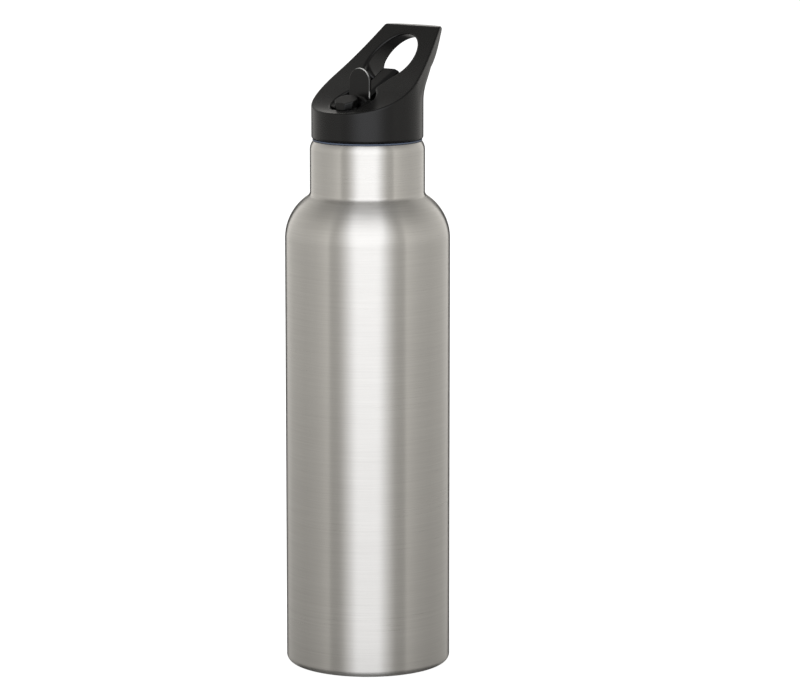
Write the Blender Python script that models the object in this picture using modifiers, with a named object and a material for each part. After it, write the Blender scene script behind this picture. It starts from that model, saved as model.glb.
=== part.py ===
"""Vacuum drinking bottle with a screw-on lid: a carry loop at the back and a flip-up spout in front.

The bottle stands on z = 0 with its axis on Z. The lid's low front lip faces -Y, its carry loop
leans back towards +Y, and the spout turns about an axis along X. Lid pieces are built in the lid's
own frame, whose origin is the centre of the lid's bottom edge. The spout is built about its hinge.
"""

import math

import bmesh
import bpy
from mathutils import Matrix, Vector

MM = 0.001
ROUND_STEPS = 40
SMALL_STEPS = 24
GAP = 0.3 * MM

# Bottle body
BODY_R = 36.5 * MM
WALL = 0.8 * MM
FOOT_CORNER_R = 3.0 * MM
BODY_TOP = 191.2 * MM
SHOULDER_R = 22.6 * MM
NECK_R = 25.4 * MM
NECK_FILLET_R = 2.4 * MM
NECK_STRAIGHT_TOP = 230.5 * MM
NECK_TOP = 234.4 * MM
NECK_TOP_R = 24.3 * MM
VACUUM_GAP = 2.3 * MM
LINER_BOTTOM = 6.5 * MM

# Mouth and thread
MOUTH_R = 19.0 * MM
MOUTH_OUTER_R = 20.2 * MM
THREAD_PITCH = 4.0 * MM
THREAD_TURNS = 1.5
THREAD_BASE = 2.4 * MM
THREAD_CREST = 1.0 * MM
MALE_CREST_R = 21.05 * MM
FEMALE_CREST_R = 21.35 * MM
FEMALE_ROOT_R = 22.2 * MM

# Foot
FOOT_INNER_R = 29.0 * MM
BASE_RECESS = 2.0 * MM
BASE_EDGE_R = 32.5 * MM
COVER_R = 25.0 * MM

# Lid, heights measured from its bottom edge
LID_Z = 235.4 * MM
LID_R = 24.7 * MM
LID_HEIGHT = 47.9 * MM
LID_INNER_R = 23.4 * MM
LID_CEILING = 11.3 * MM
LID_FOOT_INSET = 0.8 * MM
LID_FOOT_CHAMFER = 1.4 * MM
TOP_FILLET_R = 1.2 * MM
SIDE_TANGENT_Y = 6.6 * MM
SIDE_BOW = 2.04
LEAN_START = 16.5 * MM
LEAN_BLEND = 8.0 * MM
LEAN_SLOPE = 0.5
REAR_FLATTEN_START = 31.0 * MM
REAR_FLATTEN = 1.2

# Slanted face of the lid: height and slope at its front rim and at its top edge
FACE_FRONT_Y = -24.7 * MM
FACE_FRONT_H = 12.76 * MM
FACE_FRONT_SLOPE = 0.165
FACE_TOP_Y = 31.25 * MM
FACE_TOP_H = 48.1 * MM
FACE_TOP_SLOPE = 0.985

# Finger hole through the carry loop
LOOP_Y = 15.0 * MM
LOOP_H = 33.5 * MM
LOOP_HALF_WIDTH = 11.6 * MM
LOOP_RISE = 13.5 * MM
LOOP_DROP = 11.0 * MM
LOOP_TILT = math.radians(15.0)

# Recess that holds the spout: a round pocket, and a channel that widens towards the finger hole
RECESS_Y = -9.5 * MM
RECESS_R = 10.0 * MM
WAIST_ANGLE = 60.0
FLARE_START_Y = 1.0 * MM
RECESS_REAR_HALF = 11.0 * MM
RECESS_REAR_Y = 12.0 * MM
RECESS_REAR_ROUND = 4.0 * MM
RECESS_FLOOR_H = 12.6 * MM

# Spout
HINGE_Y = -12.5 * MM
HINGE_H = 13.6 * MM
DRUM_R = 6.1 * MM
DRUM_HALF = 3.9 * MM
POCKET_R = 7.0 * MM
POCKET_HALF = 4.2 * MM
CHEEK_POCKET_R = 6.0 * MM
CHEEK_POCKET_HALF = 6.1 * MM
KNUCKLE_HALF = 5.5 * MM
KNUCKLE_FRONT_Y = -18.5 * MM
KNUCKLE_FOOT = (12.2 * MM, [(1.39 * MM, KNUCKLE_FRONT_Y), (4.24 * MM, -15.41 * MM),
                            (4.24 * MM, -11.83 * MM), (2.6 * MM, -10.3 * MM)])
KNUCKLE_HEAD = (20.5 * MM, [(3.64 * MM, KNUCKLE_FRONT_Y), (5.9 * MM, -16.05 * MM),
                            (5.9 * MM, -13.37 * MM), (2.6 * MM, -10.3 * MM)])
KNUCKLE_TOP_H = 16.6 * MM
KNUCKLE_SLOPE = 0.4
DRUM_TRIM = [(1.2 * MM, -18.2 * MM), (7.0 * MM, -11.9 * MM), (7.0 * MM, -30.0 * MM)]
ARM_ANGLE = math.radians(29.0)
ARM_ROOT_HALF = 4.0 * MM
ARM_TIP_HALF = 5.0 * MM
ARM_SPACE_HALF = 4.9 * MM
ARM_DEPTH = 6.5 * MM
ARM_TOP_CHAMFER = (2.0 * MM, 1.1 * MM)
ARM_FOOT_CHAMFER = 1.1 * MM
ARM_TOP_AT_TIP = (15.3 * MM, 29.9 * MM)
ARM_START_Y = -9.5 * MM
ARM_CLEARANCE = 0.8 * MM
TAB_FRONT_Y = -5.6 * MM
TAB_THICKNESS = 1.5 * MM
TAB_HALF = 5.8 * MM
TAB_FOOT_H = 17.0 * MM
TAB_ROUND_H = 25.3 * MM
BORE_R = 2.1 * MM
INLET_ANGLE = math.radians(-155.0)
PIN_R = 1.0 * MM
PIN_INNER_X = 3.0 * MM
PIN_OUTER_X = 8.0 * MM
EAR_DROP = 0.8 * MM
EAR_FRONT_Y = -14.8 * MM
EAR_REAR_Y = -7.0 * MM

# Lid insert, straw and valve
INSERT_R = 23.1 * MM
INSERT_FOOT = 0.8 * MM
INSERT_TOP = 11.0 * MM
HUB_R = 19.1 * MM
HUB_FOOT = 8.0 * MM
GROOVE_TOP = 9.3 * MM
WELL_R = 8.0 * MM
WELL_HALF = 5.4 * MM
STRAW_Y = -10.1 * MM
BOSS_R = 5.0 * MM
BOSS_FOOT = 4.2 * MM
NIPPLE_R = 3.0 * MM
NIPPLE_FOOT = -7.0 * MM
STRAW_INNER_R = 3.3 * MM
STRAW_OUTER_R = 4.1 * MM
STRAW_END_Z = 13.0 * MM
VENT_Y = 8.0 * MM
VENT_R = 2.5 * MM


# ---------------------------------------------------------------- scene helpers

def clear_scene():
    for obj in list(bpy.data.objects):
        bpy.data.objects.remove(obj)


def collection(name):
    made = bpy.data.collections.new(name)
    bpy.context.scene.collection.children.link(made)
    return made


def material(name, colour, roughness, metallic=0.0):
    made = bpy.data.materials.new(name)
    made.use_nodes = True
    shader = made.node_tree.nodes["Principled BSDF"]
    shader.inputs["Base Color"].default_value = (*colour, 1.0)
    shader.inputs["Roughness"].default_value = roughness
    shader.inputs["Metallic"].default_value = metallic
    return made


def empty(name, location, parent=None):
    made = bpy.data.objects.new(name, None)
    made.location = location
    made.parent = parent
    PARTS.objects.link(made)
    return made


def new_object(name, mesh, parent=None, finish=None, location=(0.0, 0.0, 0.0)):
    """A visible part when it has a finish, and a hidden cutter when it has none."""
    made = bpy.data.objects.new(name, mesh)
    made.parent = parent
    made.location = location
    if finish is None:
        made.hide_render = True
        made.display_type = "WIRE"
        CUTTERS.objects.link(made)
    else:
        mesh.materials.append(finish)
        PARTS.objects.link(made)
    return made


def mesh_from(bm, name):
    bmesh.ops.recalc_face_normals(bm, faces=bm.faces)
    mesh = bpy.data.meshes.new(name)
    bm.to_mesh(mesh)
    bm.free()
    mesh.shade_smooth()
    mesh.set_sharp_from_angle(angle=math.radians(35.0))
    return mesh


# ---------------------------------------------------------------- shape helpers

def turned(name, profile, parent=None, finish=None, location=(0.0, 0.0, 0.0), steps=ROUND_STEPS):
    """A closed (radius, height) outline turned about Z. It runs down its outer side."""
    bm = bmesh.new()
    points = [bm.verts.new((radius, 0.0, height)) for radius, height in profile]
    for first, second in zip(points, points[1:] + points[:1]):
        if first.co.x > 0.0 or second.co.x > 0.0:
            bm.edges.new((first, second))
    mesh = bpy.data.meshes.new(name)
    bm.to_mesh(mesh)
    bm.free()
    made = new_object(name, mesh, parent, finish, location)
    screw = made.modifiers.new("turn", "SCREW")
    screw.axis = "Z"
    screw.steps = steps
    screw.render_steps = steps
    screw.use_merge_vertices = True
    screw.merge_threshold = 0.00001
    return made


def cylinder(name, radius, low, high, parent=None, finish=None, axis="Z", centre=(0.0, 0.0),
             steps=SMALL_STEPS):
    """A cylinder along Z or X from low to high; centre is its other two coordinates."""
    bm = bmesh.new()
    bmesh.ops.create_cone(bm, cap_ends=True, segments=steps, radius1=radius, radius2=radius,
                          depth=high - low)
    middle = (low + high) / 2
    if axis == "X":
        bmesh.ops.rotate(bm, verts=bm.verts, matrix=Matrix.Rotation(math.pi / 2, 3, "Y"))
        bmesh.ops.translate(bm, verts=bm.verts, vec=(middle, centre[0], centre[1]))
    else:
        bmesh.ops.translate(bm, verts=bm.verts, vec=(centre[0], centre[1], middle))
    return new_object(name, mesh_from(bm, name), parent, finish)


def prism(name, outline, low, high, parent=None, finish=None, axis="X"):
    """An outline extruded from low to high along X (outline in y, z) or Z (outline in x, y)."""
    bm = bmesh.new()
    if axis == "X":
        corners = [bm.verts.new((low, y, z)) for y, z in outline]
        reach = Vector((high - low, 0.0, 0.0))
    else:
        corners = [bm.verts.new((x, y, low)) for x, y in outline]
        reach = Vector((0.0, 0.0, high - low))
    face = bm.faces.new(corners)
    grown = bmesh.ops.extrude_face_region(bm, geom=[face])
    moved = [item for item in grown["geom"] if isinstance(item, bmesh.types.BMVert)]
    bmesh.ops.translate(bm, verts=moved, vec=reach)
    return new_object(name, mesh_from(bm, name), parent, finish)


def loft(name, rings, parent=None, finish=None):
    """Rings of equal point counts, joined in order and capped at both ends."""
    bm = bmesh.new()
    made = [[bm.verts.new(point) for point in ring] for ring in rings]
    for low, high in zip(made, made[1:]):
        for i in range(len(low)):
            j = (i + 1) % len(low)
            bm.faces.new((low[i], low[j], high[j], high[i]))
    bm.faces.new(made[0])
    bm.faces.new(made[-1])
    return new_object(name, mesh_from(bm, name), parent, finish)


def boolean(obj, other, operation="DIFFERENCE"):
    cut = obj.modifiers.new(operation.lower() + "_" + other.name, "BOOLEAN")
    cut.operation = operation
    cut.object = other
    cut.solver = "EXACT"


def arc(centre, radius, start, end, count):
    """Points from start to end, in degrees, with both ends."""
    angles = [math.radians(start + (end - start) * i / count) for i in range(count + 1)]
    return [(centre[0] + radius * math.cos(a), centre[1] + radius * math.sin(a)) for a in angles]


def thread_ridge(name, root_r, crest_r, start, parent=None):
    """A helical ridge of THREAD_TURNS turns whose height fades out at both ends."""
    count = int(THREAD_TURNS * ROUND_STEPS)
    fade = ROUND_STEPS / 8
    rings = []
    for i in range(count + 1):
        angle = 2 * math.pi * i / ROUND_STEPS
        middle = start + THREAD_PITCH * i / ROUND_STEPS
        strength = max(0.12, min(1.0, i / fade, (count - i) / fade))
        crest = root_r + (crest_r - root_r) * strength
        buried = root_r - math.copysign(0.35 * MM, crest_r - root_r)
        section = [(buried, -THREAD_BASE / 2), (crest, -THREAD_CREST / 2),
                   (crest, THREAD_CREST / 2), (buried, THREAD_BASE / 2)]
        rings.append([(r * math.cos(angle), r * math.sin(angle), middle + dz) for r, dz in section])
    return loft(name, rings, parent)


# ---------------------------------------------------------------- bottle

def shoulder_angle():
    """Angle on the shoulder arc, from the horizontal, at which the neck's fillet leaves it."""
    centre_r = BODY_R - SHOULDER_R
    return math.degrees(math.acos((NECK_R + NECK_FILLET_R - centre_r) / (SHOULDER_R + NECK_FILLET_R)))


def shoulder(offset, arc_count):
    """The body's shoulder and neck fillet from the neck down, offset inwards from the outside."""
    centre_r = BODY_R - SHOULDER_R
    meet = shoulder_angle()
    fillet_z = BODY_TOP + (SHOULDER_R + NECK_FILLET_R) * math.sin(math.radians(meet))
    fillet = arc((NECK_R + NECK_FILLET_R, fillet_z), NECK_FILLET_R + offset, 180.0, 180.0 + meet, 3)
    crown = arc((centre_r, BODY_TOP), SHOULDER_R - offset, meet, 0.0, arc_count)
    return fillet + crown[1:]


def build_outer_shell(finish):
    outside = [(MOUTH_OUTER_R + GAP, NECK_TOP), (NECK_TOP_R - 1.2 * MM, NECK_TOP)]
    outside += [(NECK_TOP_R, NECK_TOP - 0.25 * MM), (NECK_R - 0.25 * MM, NECK_TOP - 2.2 * MM)]
    outside += [(NECK_R, NECK_STRAIGHT_TOP)]
    outside += shoulder(0.0, 8)
    outside += arc((BODY_R - FOOT_CORNER_R, FOOT_CORNER_R), FOOT_CORNER_R, 0.0, -90.0, 4)
    inside = [(BASE_EDGE_R + GAP, 0.0), (BASE_EDGE_R + GAP, WALL)]
    inside += [(BODY_R - FOOT_CORNER_R, WALL), (BODY_R - WALL, FOOT_CORNER_R)]
    inside += list(reversed(shoulder(WALL, 6)))
    inside += [(NECK_R - WALL, NECK_STRAIGHT_TOP), (NECK_TOP_R - 0.9 * MM, NECK_TOP - WALL)]
    inside += [(MOUTH_OUTER_R + GAP, NECK_TOP - WALL)]
    return turned("outer_shell", outside + inside, finish=finish)


def liner_wall(offset):
    """The liner's side from its neck down to its floor, offset inwards from its outside."""
    inward = WALL + VACUUM_GAP + offset
    side = shoulder(inward, 6)
    corner_r = 8.0 * MM
    centre = (BODY_R - WALL - VACUUM_GAP - corner_r, LINER_BOTTOM + corner_r)
    return side + arc(centre, corner_r - offset, 0.0, -90.0, 4)


def build_inner_liner(finish):
    mouth_top = LID_Z + 7.2 * MM
    neck_r = NECK_R - WALL - VACUUM_GAP
    outside = [(MOUTH_R, mouth_top), (MOUTH_OUTER_R, mouth_top)]
    outside += [(MOUTH_OUTER_R, NECK_TOP - 4.0 * MM), (neck_r, NECK_TOP - 9.0 * MM)]
    outside += liner_wall(0.0)
    inside = [(0.0, LINER_BOTTOM), (0.0, LINER_BOTTOM + WALL)]
    inside += list(reversed(liner_wall(WALL)))
    inside += [(neck_r - WALL, NECK_TOP - 9.3 * MM), (MOUTH_R, NECK_TOP - 4.5 * MM)]
    liner = turned("inner_liner", outside + inside, finish=finish)
    ridge_start = LID_Z - 0.2 * MM
    ridge = thread_ridge("mouth_thread", MOUTH_OUTER_R, MALE_CREST_R, ridge_start)
    boolean(liner, ridge, "UNION")
    return liner


def build_base(steel, polished, solder, getter_grey):
    top = BASE_RECESS + WALL
    profile = [(1.0 * MM, top + 1.2 * MM), (5.0 * MM, top + 1.2 * MM), (6.6 * MM, top)]
    profile += [(FOOT_INNER_R - 1.2 * MM, top), (FOOT_INNER_R + 0.4 * MM, WALL), (BASE_EDGE_R, WALL)]
    profile += [(BASE_EDGE_R, 0.0), (FOOT_INNER_R, 0.0), (FOOT_INNER_R - 1.6 * MM, BASE_RECESS)]
    profile += [(6.3 * MM, BASE_RECESS), (4.7 * MM, BASE_RECESS + 1.2 * MM)]
    profile += [(1.0 * MM, BASE_RECESS + 1.2 * MM)]
    turned("outer_base", profile, finish=steel)
    cover_top = BASE_RECESS - GAP
    cover = [(0.0, cover_top), (COVER_R, cover_top), (COVER_R, cover_top - 0.3 * MM)]
    cover += [(COVER_R - 0.3 * MM, cover_top - 0.6 * MM), (0.0, cover_top - 0.6 * MM)]
    turned("base_cover", cover, finish=polished)
    seal = [(0.0, top + 1.4 * MM), (0.7 * MM, top + 1.4 * MM), (0.7 * MM, BASE_RECESS + 0.9 * MM)]
    seal += [(2.2 * MM, BASE_RECESS + 0.7 * MM), (1.6 * MM, BASE_RECESS + 0.1 * MM)]
    seal += [(0.0, BASE_RECESS)]
    turned("vacuum_seal", seal, finish=solder, steps=SMALL_STEPS)
    pill = [(0.0, 1.6 * MM), (3.6 * MM, 1.6 * MM), (4.0 * MM, 1.2 * MM), (4.0 * MM, 0.4 * MM)]
    pill += [(3.6 * MM, 0.0), (0.0, 0.0)]
    place = (16.0 * MM, 0.0, top + GAP)
    turned("getter", pill, finish=getter_grey, location=place, steps=SMALL_STEPS)


# ---------------------------------------------------------------- lid outline

def face_height(y):
    """Height of the slanted face: a cubic between its front rim and its top edge."""
    span = FACE_TOP_Y - FACE_FRONT_Y
    t = (y - FACE_FRONT_Y) / span
    rise = FACE_FRONT_H * (2 * t ** 3 - 3 * t ** 2 + 1) + FACE_TOP_H * (3 * t ** 2 - 2 * t ** 3)
    return rise + span * (FACE_FRONT_SLOPE * (t ** 3 - 2 * t ** 2 + t) + FACE_TOP_SLOPE * (t ** 3 - t ** 2))


def rear_push(height):
    """How far the rear wall has moved back at a height above the lid's bottom edge."""
    above = height - LEAN_START
    if above <= 0.0:
        return 0.0
    if above < LEAN_BLEND:
        return LEAN_SLOPE * above * above / (2 * LEAN_BLEND)
    return LEAN_SLOPE * (above - LEAN_BLEND / 2)


def rear_radius(height):
    return LID_R + REAR_FLATTEN * max(0.0, height - REAR_FLATTEN_START)


def side_x(y):
    """Half width of the lid behind the point where its sides leave the round."""
    tangent_x = math.sqrt(LID_R ** 2 - SIDE_TANGENT_Y ** 2)
    behind = y - SIDE_TANGENT_Y
    return tangent_x - SIDE_TANGENT_Y / tangent_x * behind - SIDE_BOW * behind ** 2


def rear_corner(height):
    """The y at which the side meets the rear wall."""
    radius = rear_radius(height)
    centre_y = LID_R + rear_push(height) - radius
    low, high = SIDE_TANGENT_Y, FACE_TOP_Y + 12.0 * MM
    for _ in range(50):
        middle = (low + high) / 2
        inside = math.hypot(side_x(middle), middle - centre_y) < radius
        low, high = (middle, high) if inside else (low, middle)
    return low


def side_points(height, count):
    """From the round's flank back to the rear corner, on the +X side."""
    start = math.radians(-20.0)
    tangent = math.asin(SIDE_TANGENT_Y / LID_R)
    corner = rear_corner(height)
    round_length = LID_R * (tangent - start)
    straight_length = corner - SIDE_TANGENT_Y
    points = []
    for i in range(count + 1):
        along = (round_length + straight_length) * i / count
        if along <= round_length:
            angle = start + along / LID_R
            points.append((LID_R * math.cos(angle), LID_R * math.sin(angle)))
        else:
            y = SIDE_TANGENT_Y + along - round_length
            points.append((side_x(y), y))
    return points


def lid_outline(height):
    """The lid's full plan outline at a height, anticlockwise, before the slanted face is cut."""
    right = side_points(height, 8)
    radius = rear_radius(height)
    centre = (0.0, LID_R + rear_push(height) - radius)
    start = math.degrees(math.atan2(right[-1][1] - centre[1], right[-1][0]))
    rear = arc(centre, radius, start, 180.0 - start, 14)
    left = [(-x, y) for x, y in reversed(right)]
    front = arc((0.0, 0.0), LID_R, 200.0, 340.0, 16)
    return right + rear[1:-1] + left + front[1:-1]


def inset(outline, amount):
    """The outline moved inwards by an amount, point by point."""
    moved = []
    for i, point in enumerate(outline):
        before = Vector(outline[i - 1])
        after = Vector(outline[(i + 1) % len(outline)])
        along = (after - before).normalized()
        moved.append((point[0] - along.y * amount, point[1] + along.x * amount))
    return moved


def lid_rings():
    levels = [(0.0, LID_FOOT_INSET), (0.3 * MM, 0.45 * MM), (LID_FOOT_CHAMFER, 0.0)]
    levels += [(LEAN_START + 2.0 * MM * i, 0.0) for i in range(5)]
    straight_top = LID_HEIGHT - TOP_FILLET_R
    first = LEAN_START + 11.0 * MM
    levels += [(first + (straight_top - first) * i / 5, 0.0) for i in range(6)]
    for angle in (30.0, 60.0, 90.0):
        rise = TOP_FILLET_R * math.sin(math.radians(angle))
        levels.append((straight_top + rise, TOP_FILLET_R * (1 - math.cos(math.radians(angle)))))
    return [[(x, y, height) for x, y in inset(lid_outline(height), amount)]
            for height, amount in levels]


def face_cutter(parent):
    """Everything above the slanted face."""
    reach = 15.0 * MM
    count = 22
    curve = []
    for i in range(count + 1):
        y = FACE_FRONT_Y + (FACE_TOP_Y - FACE_FRONT_Y) * i / count
        curve.append((y, face_height(y)))
    front = (FACE_FRONT_Y - reach, FACE_FRONT_H - FACE_FRONT_SLOPE * reach)
    rear = (FACE_TOP_Y + 5.0 * MM, FACE_TOP_H + FACE_TOP_SLOPE * 5.0 * MM)
    top = 80.0 * MM
    outline = [front] + curve + [rear, (rear[0], top), (front[0], top)]
    return prism("above_face", outline, -40.0 * MM, 40.0 * MM, parent)


def recess_outline():
    """Plan of the spout's recess: the round pocket, its waist, and the flare to a round back."""
    pocket = arc((0.0, RECESS_Y), RECESS_R, WAIST_ANGLE - 300.0, WAIST_ANGLE, 30)
    waist_half = RECESS_R * math.cos(math.radians(WAIST_ANGLE))
    back = arc((0.0, 0.0), 1.0, 0.0, 180.0, 12)
    back = [(RECESS_REAR_HALF * x, RECESS_REAR_Y + RECESS_REAR_ROUND * y) for x, y in back]
    return pocket + [(waist_half, FLARE_START_Y)] + back + [(-waist_half, FLARE_START_Y)]


def arm_floor(y):
    """Height of the clearance plane under the resting spout's arm."""
    drop = (ARM_DEPTH + ARM_CLEARANCE) / math.cos(ARM_ANGLE)
    return ARM_TOP_AT_TIP[1] + (y - ARM_TOP_AT_TIP[0]) * math.tan(ARM_ANGLE) - drop


def recess_cutter(parent):
    cutter = prism("recess", recess_outline(), 5.0 * MM, 70.0 * MM, parent, axis="Z")
    level_end = ARM_TOP_AT_TIP[0] - (arm_floor(ARM_TOP_AT_TIP[0]) - RECESS_FLOOR_H) / math.tan(ARM_ANGLE)
    profile = [(-45.0 * MM, RECESS_FLOOR_H), (level_end, RECESS_FLOOR_H)]
    profile += [(17.0 * MM, arm_floor(17.0 * MM)), (40.0 * MM, 19.0 * MM)]
    profile += [(40.0 * MM, 75.0 * MM), (-45.0 * MM, 75.0 * MM)]
    floor = prism("recess_floor", profile, -30.0 * MM, 30.0 * MM, parent)
    boolean(cutter, floor, "INTERSECT")
    return cutter


def loop_cutter(parent):
    """The finger hole: an oval whose lower half is flatter, running back and slightly down."""
    upper = arc((0.0, 0.0), 1.0, 0.0, 180.0, 16)
    lower = arc((0.0, 0.0), 1.0, 180.0, 360.0, 14)
    oval = [(LOOP_HALF_WIDTH * x, LOOP_RISE * y) for x, y in upper]
    oval += [(LOOP_HALF_WIDTH * x, LOOP_DROP * y) for x, y in lower[1:-1]]
    rings = []
    for along in (-8.0 * MM, 40.0 * MM):
        back = along * math.cos(LOOP_TILT)
        down = along * math.sin(LOOP_TILT)
        ring = []
        for x, rise in oval:
            y = LOOP_Y + back + rise * math.sin(LOOP_TILT)
            ring.append((x, y, LOOP_H - down + rise * math.cos(LOOP_TILT)))
        rings.append(ring)
    return loft("finger_hole", rings, parent)


def spout_space_cutters(parent):
    """Room for the spout to turn, cut from both the lid shell and the insert."""
    centre = (HINGE_Y, HINGE_H)
    drum = cylinder("drum_space", POCKET_R, -POCKET_HALF, POCKET_HALF, parent, axis="X",
                    centre=centre, steps=36)
    cheeks = cylinder("cheek_space", CHEEK_POCKET_R, -CHEEK_POCKET_HALF, CHEEK_POCKET_HALF, parent,
                      axis="X", centre=centre, steps=30)
    low, high = -8.0 * MM, 16.5 * MM
    lift = 0.1 * MM
    outline = [(low, arm_floor(low) + lift), (high, arm_floor(high) + lift), (high, 40.0 * MM)]
    outline += [(low, 24.0 * MM)]
    arm = prism("arm_space", outline, -ARM_SPACE_HALF, ARM_SPACE_HALF, parent)
    return [drum, cheeks, arm]


# ---------------------------------------------------------------- lid pieces

def ear_outline():
    """Side outline of the hinge ears, whose tops run just under the slanted face."""
    foot = RECESS_FLOOR_H - 0.6 * MM
    front_top, rear_top = face_height(EAR_FRONT_Y) - EAR_DROP, face_height(EAR_REAR_Y) - EAR_DROP
    return [(EAR_FRONT_Y, foot), (EAR_REAR_Y, foot), (EAR_REAR_Y, rear_top), (EAR_FRONT_Y, front_top)]


def build_lid_shell(parent, finish, spout_space):
    shell = loft("lid_shell", lid_rings(), parent, finish)
    boolean(shell, face_cutter(parent))
    ceiling = cylinder("lid_cavity", LID_INNER_R, -10.0 * MM, LID_CEILING, parent, steps=ROUND_STEPS)
    boolean(shell, ceiling)
    boolean(shell, recess_cutter(parent))
    boolean(shell, loop_cutter(parent))
    for side, name in ((-1, "ear_left"), (1, "ear_right")):
        low, high = sorted((side * (CHEEK_POCKET_HALF - 0.5 * MM), side * (RECESS_R + 1.5 * MM)))
        boolean(shell, prism(name, ear_outline(), low, high, parent), "UNION")
    for cutter in spout_space:
        boolean(shell, cutter)
    pin_hole = PIN_OUTER_X + GAP
    holes = cylinder("pin_holes", PIN_R + GAP, -pin_hole, pin_hole, parent, axis="X",
                     centre=(HINGE_Y, HINGE_H))
    boolean(shell, holes)
    core = [(3.5 * MM, 6.0 * MM), (3.5 * MM, 13.0 * MM), (15.0 * MM, 19.0 * MM)]
    core += [(19.0 * MM, 19.0 * MM), (19.0 * MM, 6.0 * MM)]
    boolean(shell, prism("lid_core", core, -11.0 * MM, 11.0 * MM, parent))
    vent = cylinder("vent_hole", 0.8 * MM, 13.0 * MM, 20.0 * MM, parent, centre=(0.0, VENT_Y), steps=12)
    boolean(shell, vent)
    return shell


def build_lid_insert(parent, finish, spout_space):
    profile = [(0.0, INSERT_TOP), (INSERT_R, INSERT_TOP), (INSERT_R, INSERT_FOOT)]
    profile += [(FEMALE_ROOT_R, INSERT_FOOT), (FEMALE_ROOT_R, GROOVE_TOP), (HUB_R, GROOVE_TOP)]
    profile += [(HUB_R, HUB_FOOT), (0.0, HUB_FOOT)]
    insert = turned("lid_insert", profile, parent, finish)
    centre = (HINGE_Y, HINGE_H)
    well = cylinder("well_round", WELL_R, -WELL_HALF, WELL_HALF, parent, axis="X", centre=centre,
                    steps=36)
    ceiling = [(HINGE_Y - 12.0 * MM, 2.0 * MM), (HINGE_Y + 12.0 * MM, 2.0 * MM)]
    ceiling += [(HINGE_Y + 12.0 * MM, INSERT_TOP - 0.5 * MM), (HINGE_Y - 12.0 * MM, INSERT_TOP - 0.5 * MM)]
    boolean(well, prism("well_top", ceiling, -20.0 * MM, 20.0 * MM, parent), "INTERSECT")
    boolean(insert, well, "UNION")
    spigot = (0.0, STRAW_Y)
    boss = cylinder("port_boss", BOSS_R, BOSS_FOOT, INSERT_TOP - 1.0 * MM, parent, centre=spigot)
    boolean(insert, boss, "UNION")
    nipple = cylinder("straw_nipple", NIPPLE_R, NIPPLE_FOOT, BOSS_FOOT + 1.5 * MM, parent, centre=spigot)
    boolean(insert, nipple, "UNION")
    groove = [(HUB_R, GROOVE_TOP - 0.05 * MM), (FEMALE_ROOT_R - 0.05 * MM, GROOVE_TOP - 0.05 * MM)]
    groove += [(FEMALE_ROOT_R - 0.05 * MM, 2.0 * MM), (HUB_R, 2.0 * MM)]
    boolean(insert, turned("gasket_groove", groove, parent))
    ridge = thread_ridge("lid_thread", FEMALE_ROOT_R, FEMALE_CREST_R, 1.8 * MM, parent)
    boolean(insert, ridge, "UNION")
    for cutter in spout_space:
        boolean(insert, cutter)
    seat = cylinder("seal_seat", 3.9 * MM, 5.6 * MM, 12.0 * MM, parent, centre=spigot)
    boolean(insert, seat)
    bore = cylinder("straw_bore", BORE_R, -20.0 * MM, 8.0 * MM, parent, centre=spigot)
    boolean(insert, bore)
    vent = cylinder("vent_seat", VENT_R, 0.0, 20.0 * MM, parent, centre=(0.0, VENT_Y))
    boolean(insert, vent)
    return insert


def build_lid_small_parts(parent, silicone, straw_clear):
    gasket = [(HUB_R + GAP, 9.0 * MM), (21.0 * MM, 9.0 * MM), (21.0 * MM, 7.5 * MM)]
    gasket += [(HUB_R + GAP, 7.5 * MM)]
    turned("mouth_gasket", gasket, parent, silicone)
    seal = [(2.4 * MM, 8.6 * MM), (3.6 * MM, 8.6 * MM), (3.6 * MM, 5.9 * MM), (2.4 * MM, 5.9 * MM)]
    spout_seal = turned("spout_seal", seal, parent, silicone, (0.0, STRAW_Y, 0.0), SMALL_STEPS)
    drum = cylinder("seal_trim", DRUM_R + 0.25 * MM, -8.0 * MM, 8.0 * MM, parent, axis="X",
                    centre=(HINGE_Y, HINGE_H), steps=60)
    boolean(spout_seal, drum)
    valve = [(0.5 * MM, 12.0 * MM), (3.6 * MM, 12.0 * MM), (3.6 * MM, 11.3 * MM)]
    valve += [(VENT_R - GAP, 11.3 * MM), (VENT_R - GAP, 7.6 * MM), (0.9 * MM, 4.4 * MM)]
    valve += [(0.5 * MM, 4.4 * MM)]
    turned("vent_valve", valve, parent, silicone, (0.0, VENT_Y, 0.0), SMALL_STEPS)
    low = STRAW_END_Z - LID_Z
    tube = [(STRAW_OUTER_R, BOSS_FOOT - GAP), (STRAW_OUTER_R, low), (STRAW_INNER_R, low)]
    tube += [(STRAW_INNER_R, BOSS_FOOT - GAP)]
    straw = turned("straw", tube, parent, straw_clear, (0.0, STRAW_Y, 0.0), SMALL_STEPS)
    slant = [(STRAW_Y - 9.0 * MM, low - 9.0 * MM), (STRAW_Y + 9.0 * MM, low - 9.0 * MM)]
    slant += [(STRAW_Y + 9.0 * MM, low + 6.0 * MM), (STRAW_Y - 9.0 * MM, low - 3.0 * MM)]
    boolean(straw, prism("straw_slant", slant, -9.0 * MM, 9.0 * MM, parent))


# ---------------------------------------------------------------- spout, in its hinge's frame

def from_hinge(y, height):
    return (y - HINGE_Y, height - HINGE_H)


def knuckle_solid(parent):
    """The knuckle in front of the thumb tab: eight-sided, narrower at its foot, its top still uncut."""
    rings = []
    for height, corners in (KNUCKLE_FOOT, KNUCKLE_HEAD):
        right = [(x, y - HINGE_Y, height - HINGE_H) for x, y in corners]
        rings.append(right + [(-x, y, z) for x, y, z in reversed(right)])
    return loft("knuckle", rings, parent)


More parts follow.
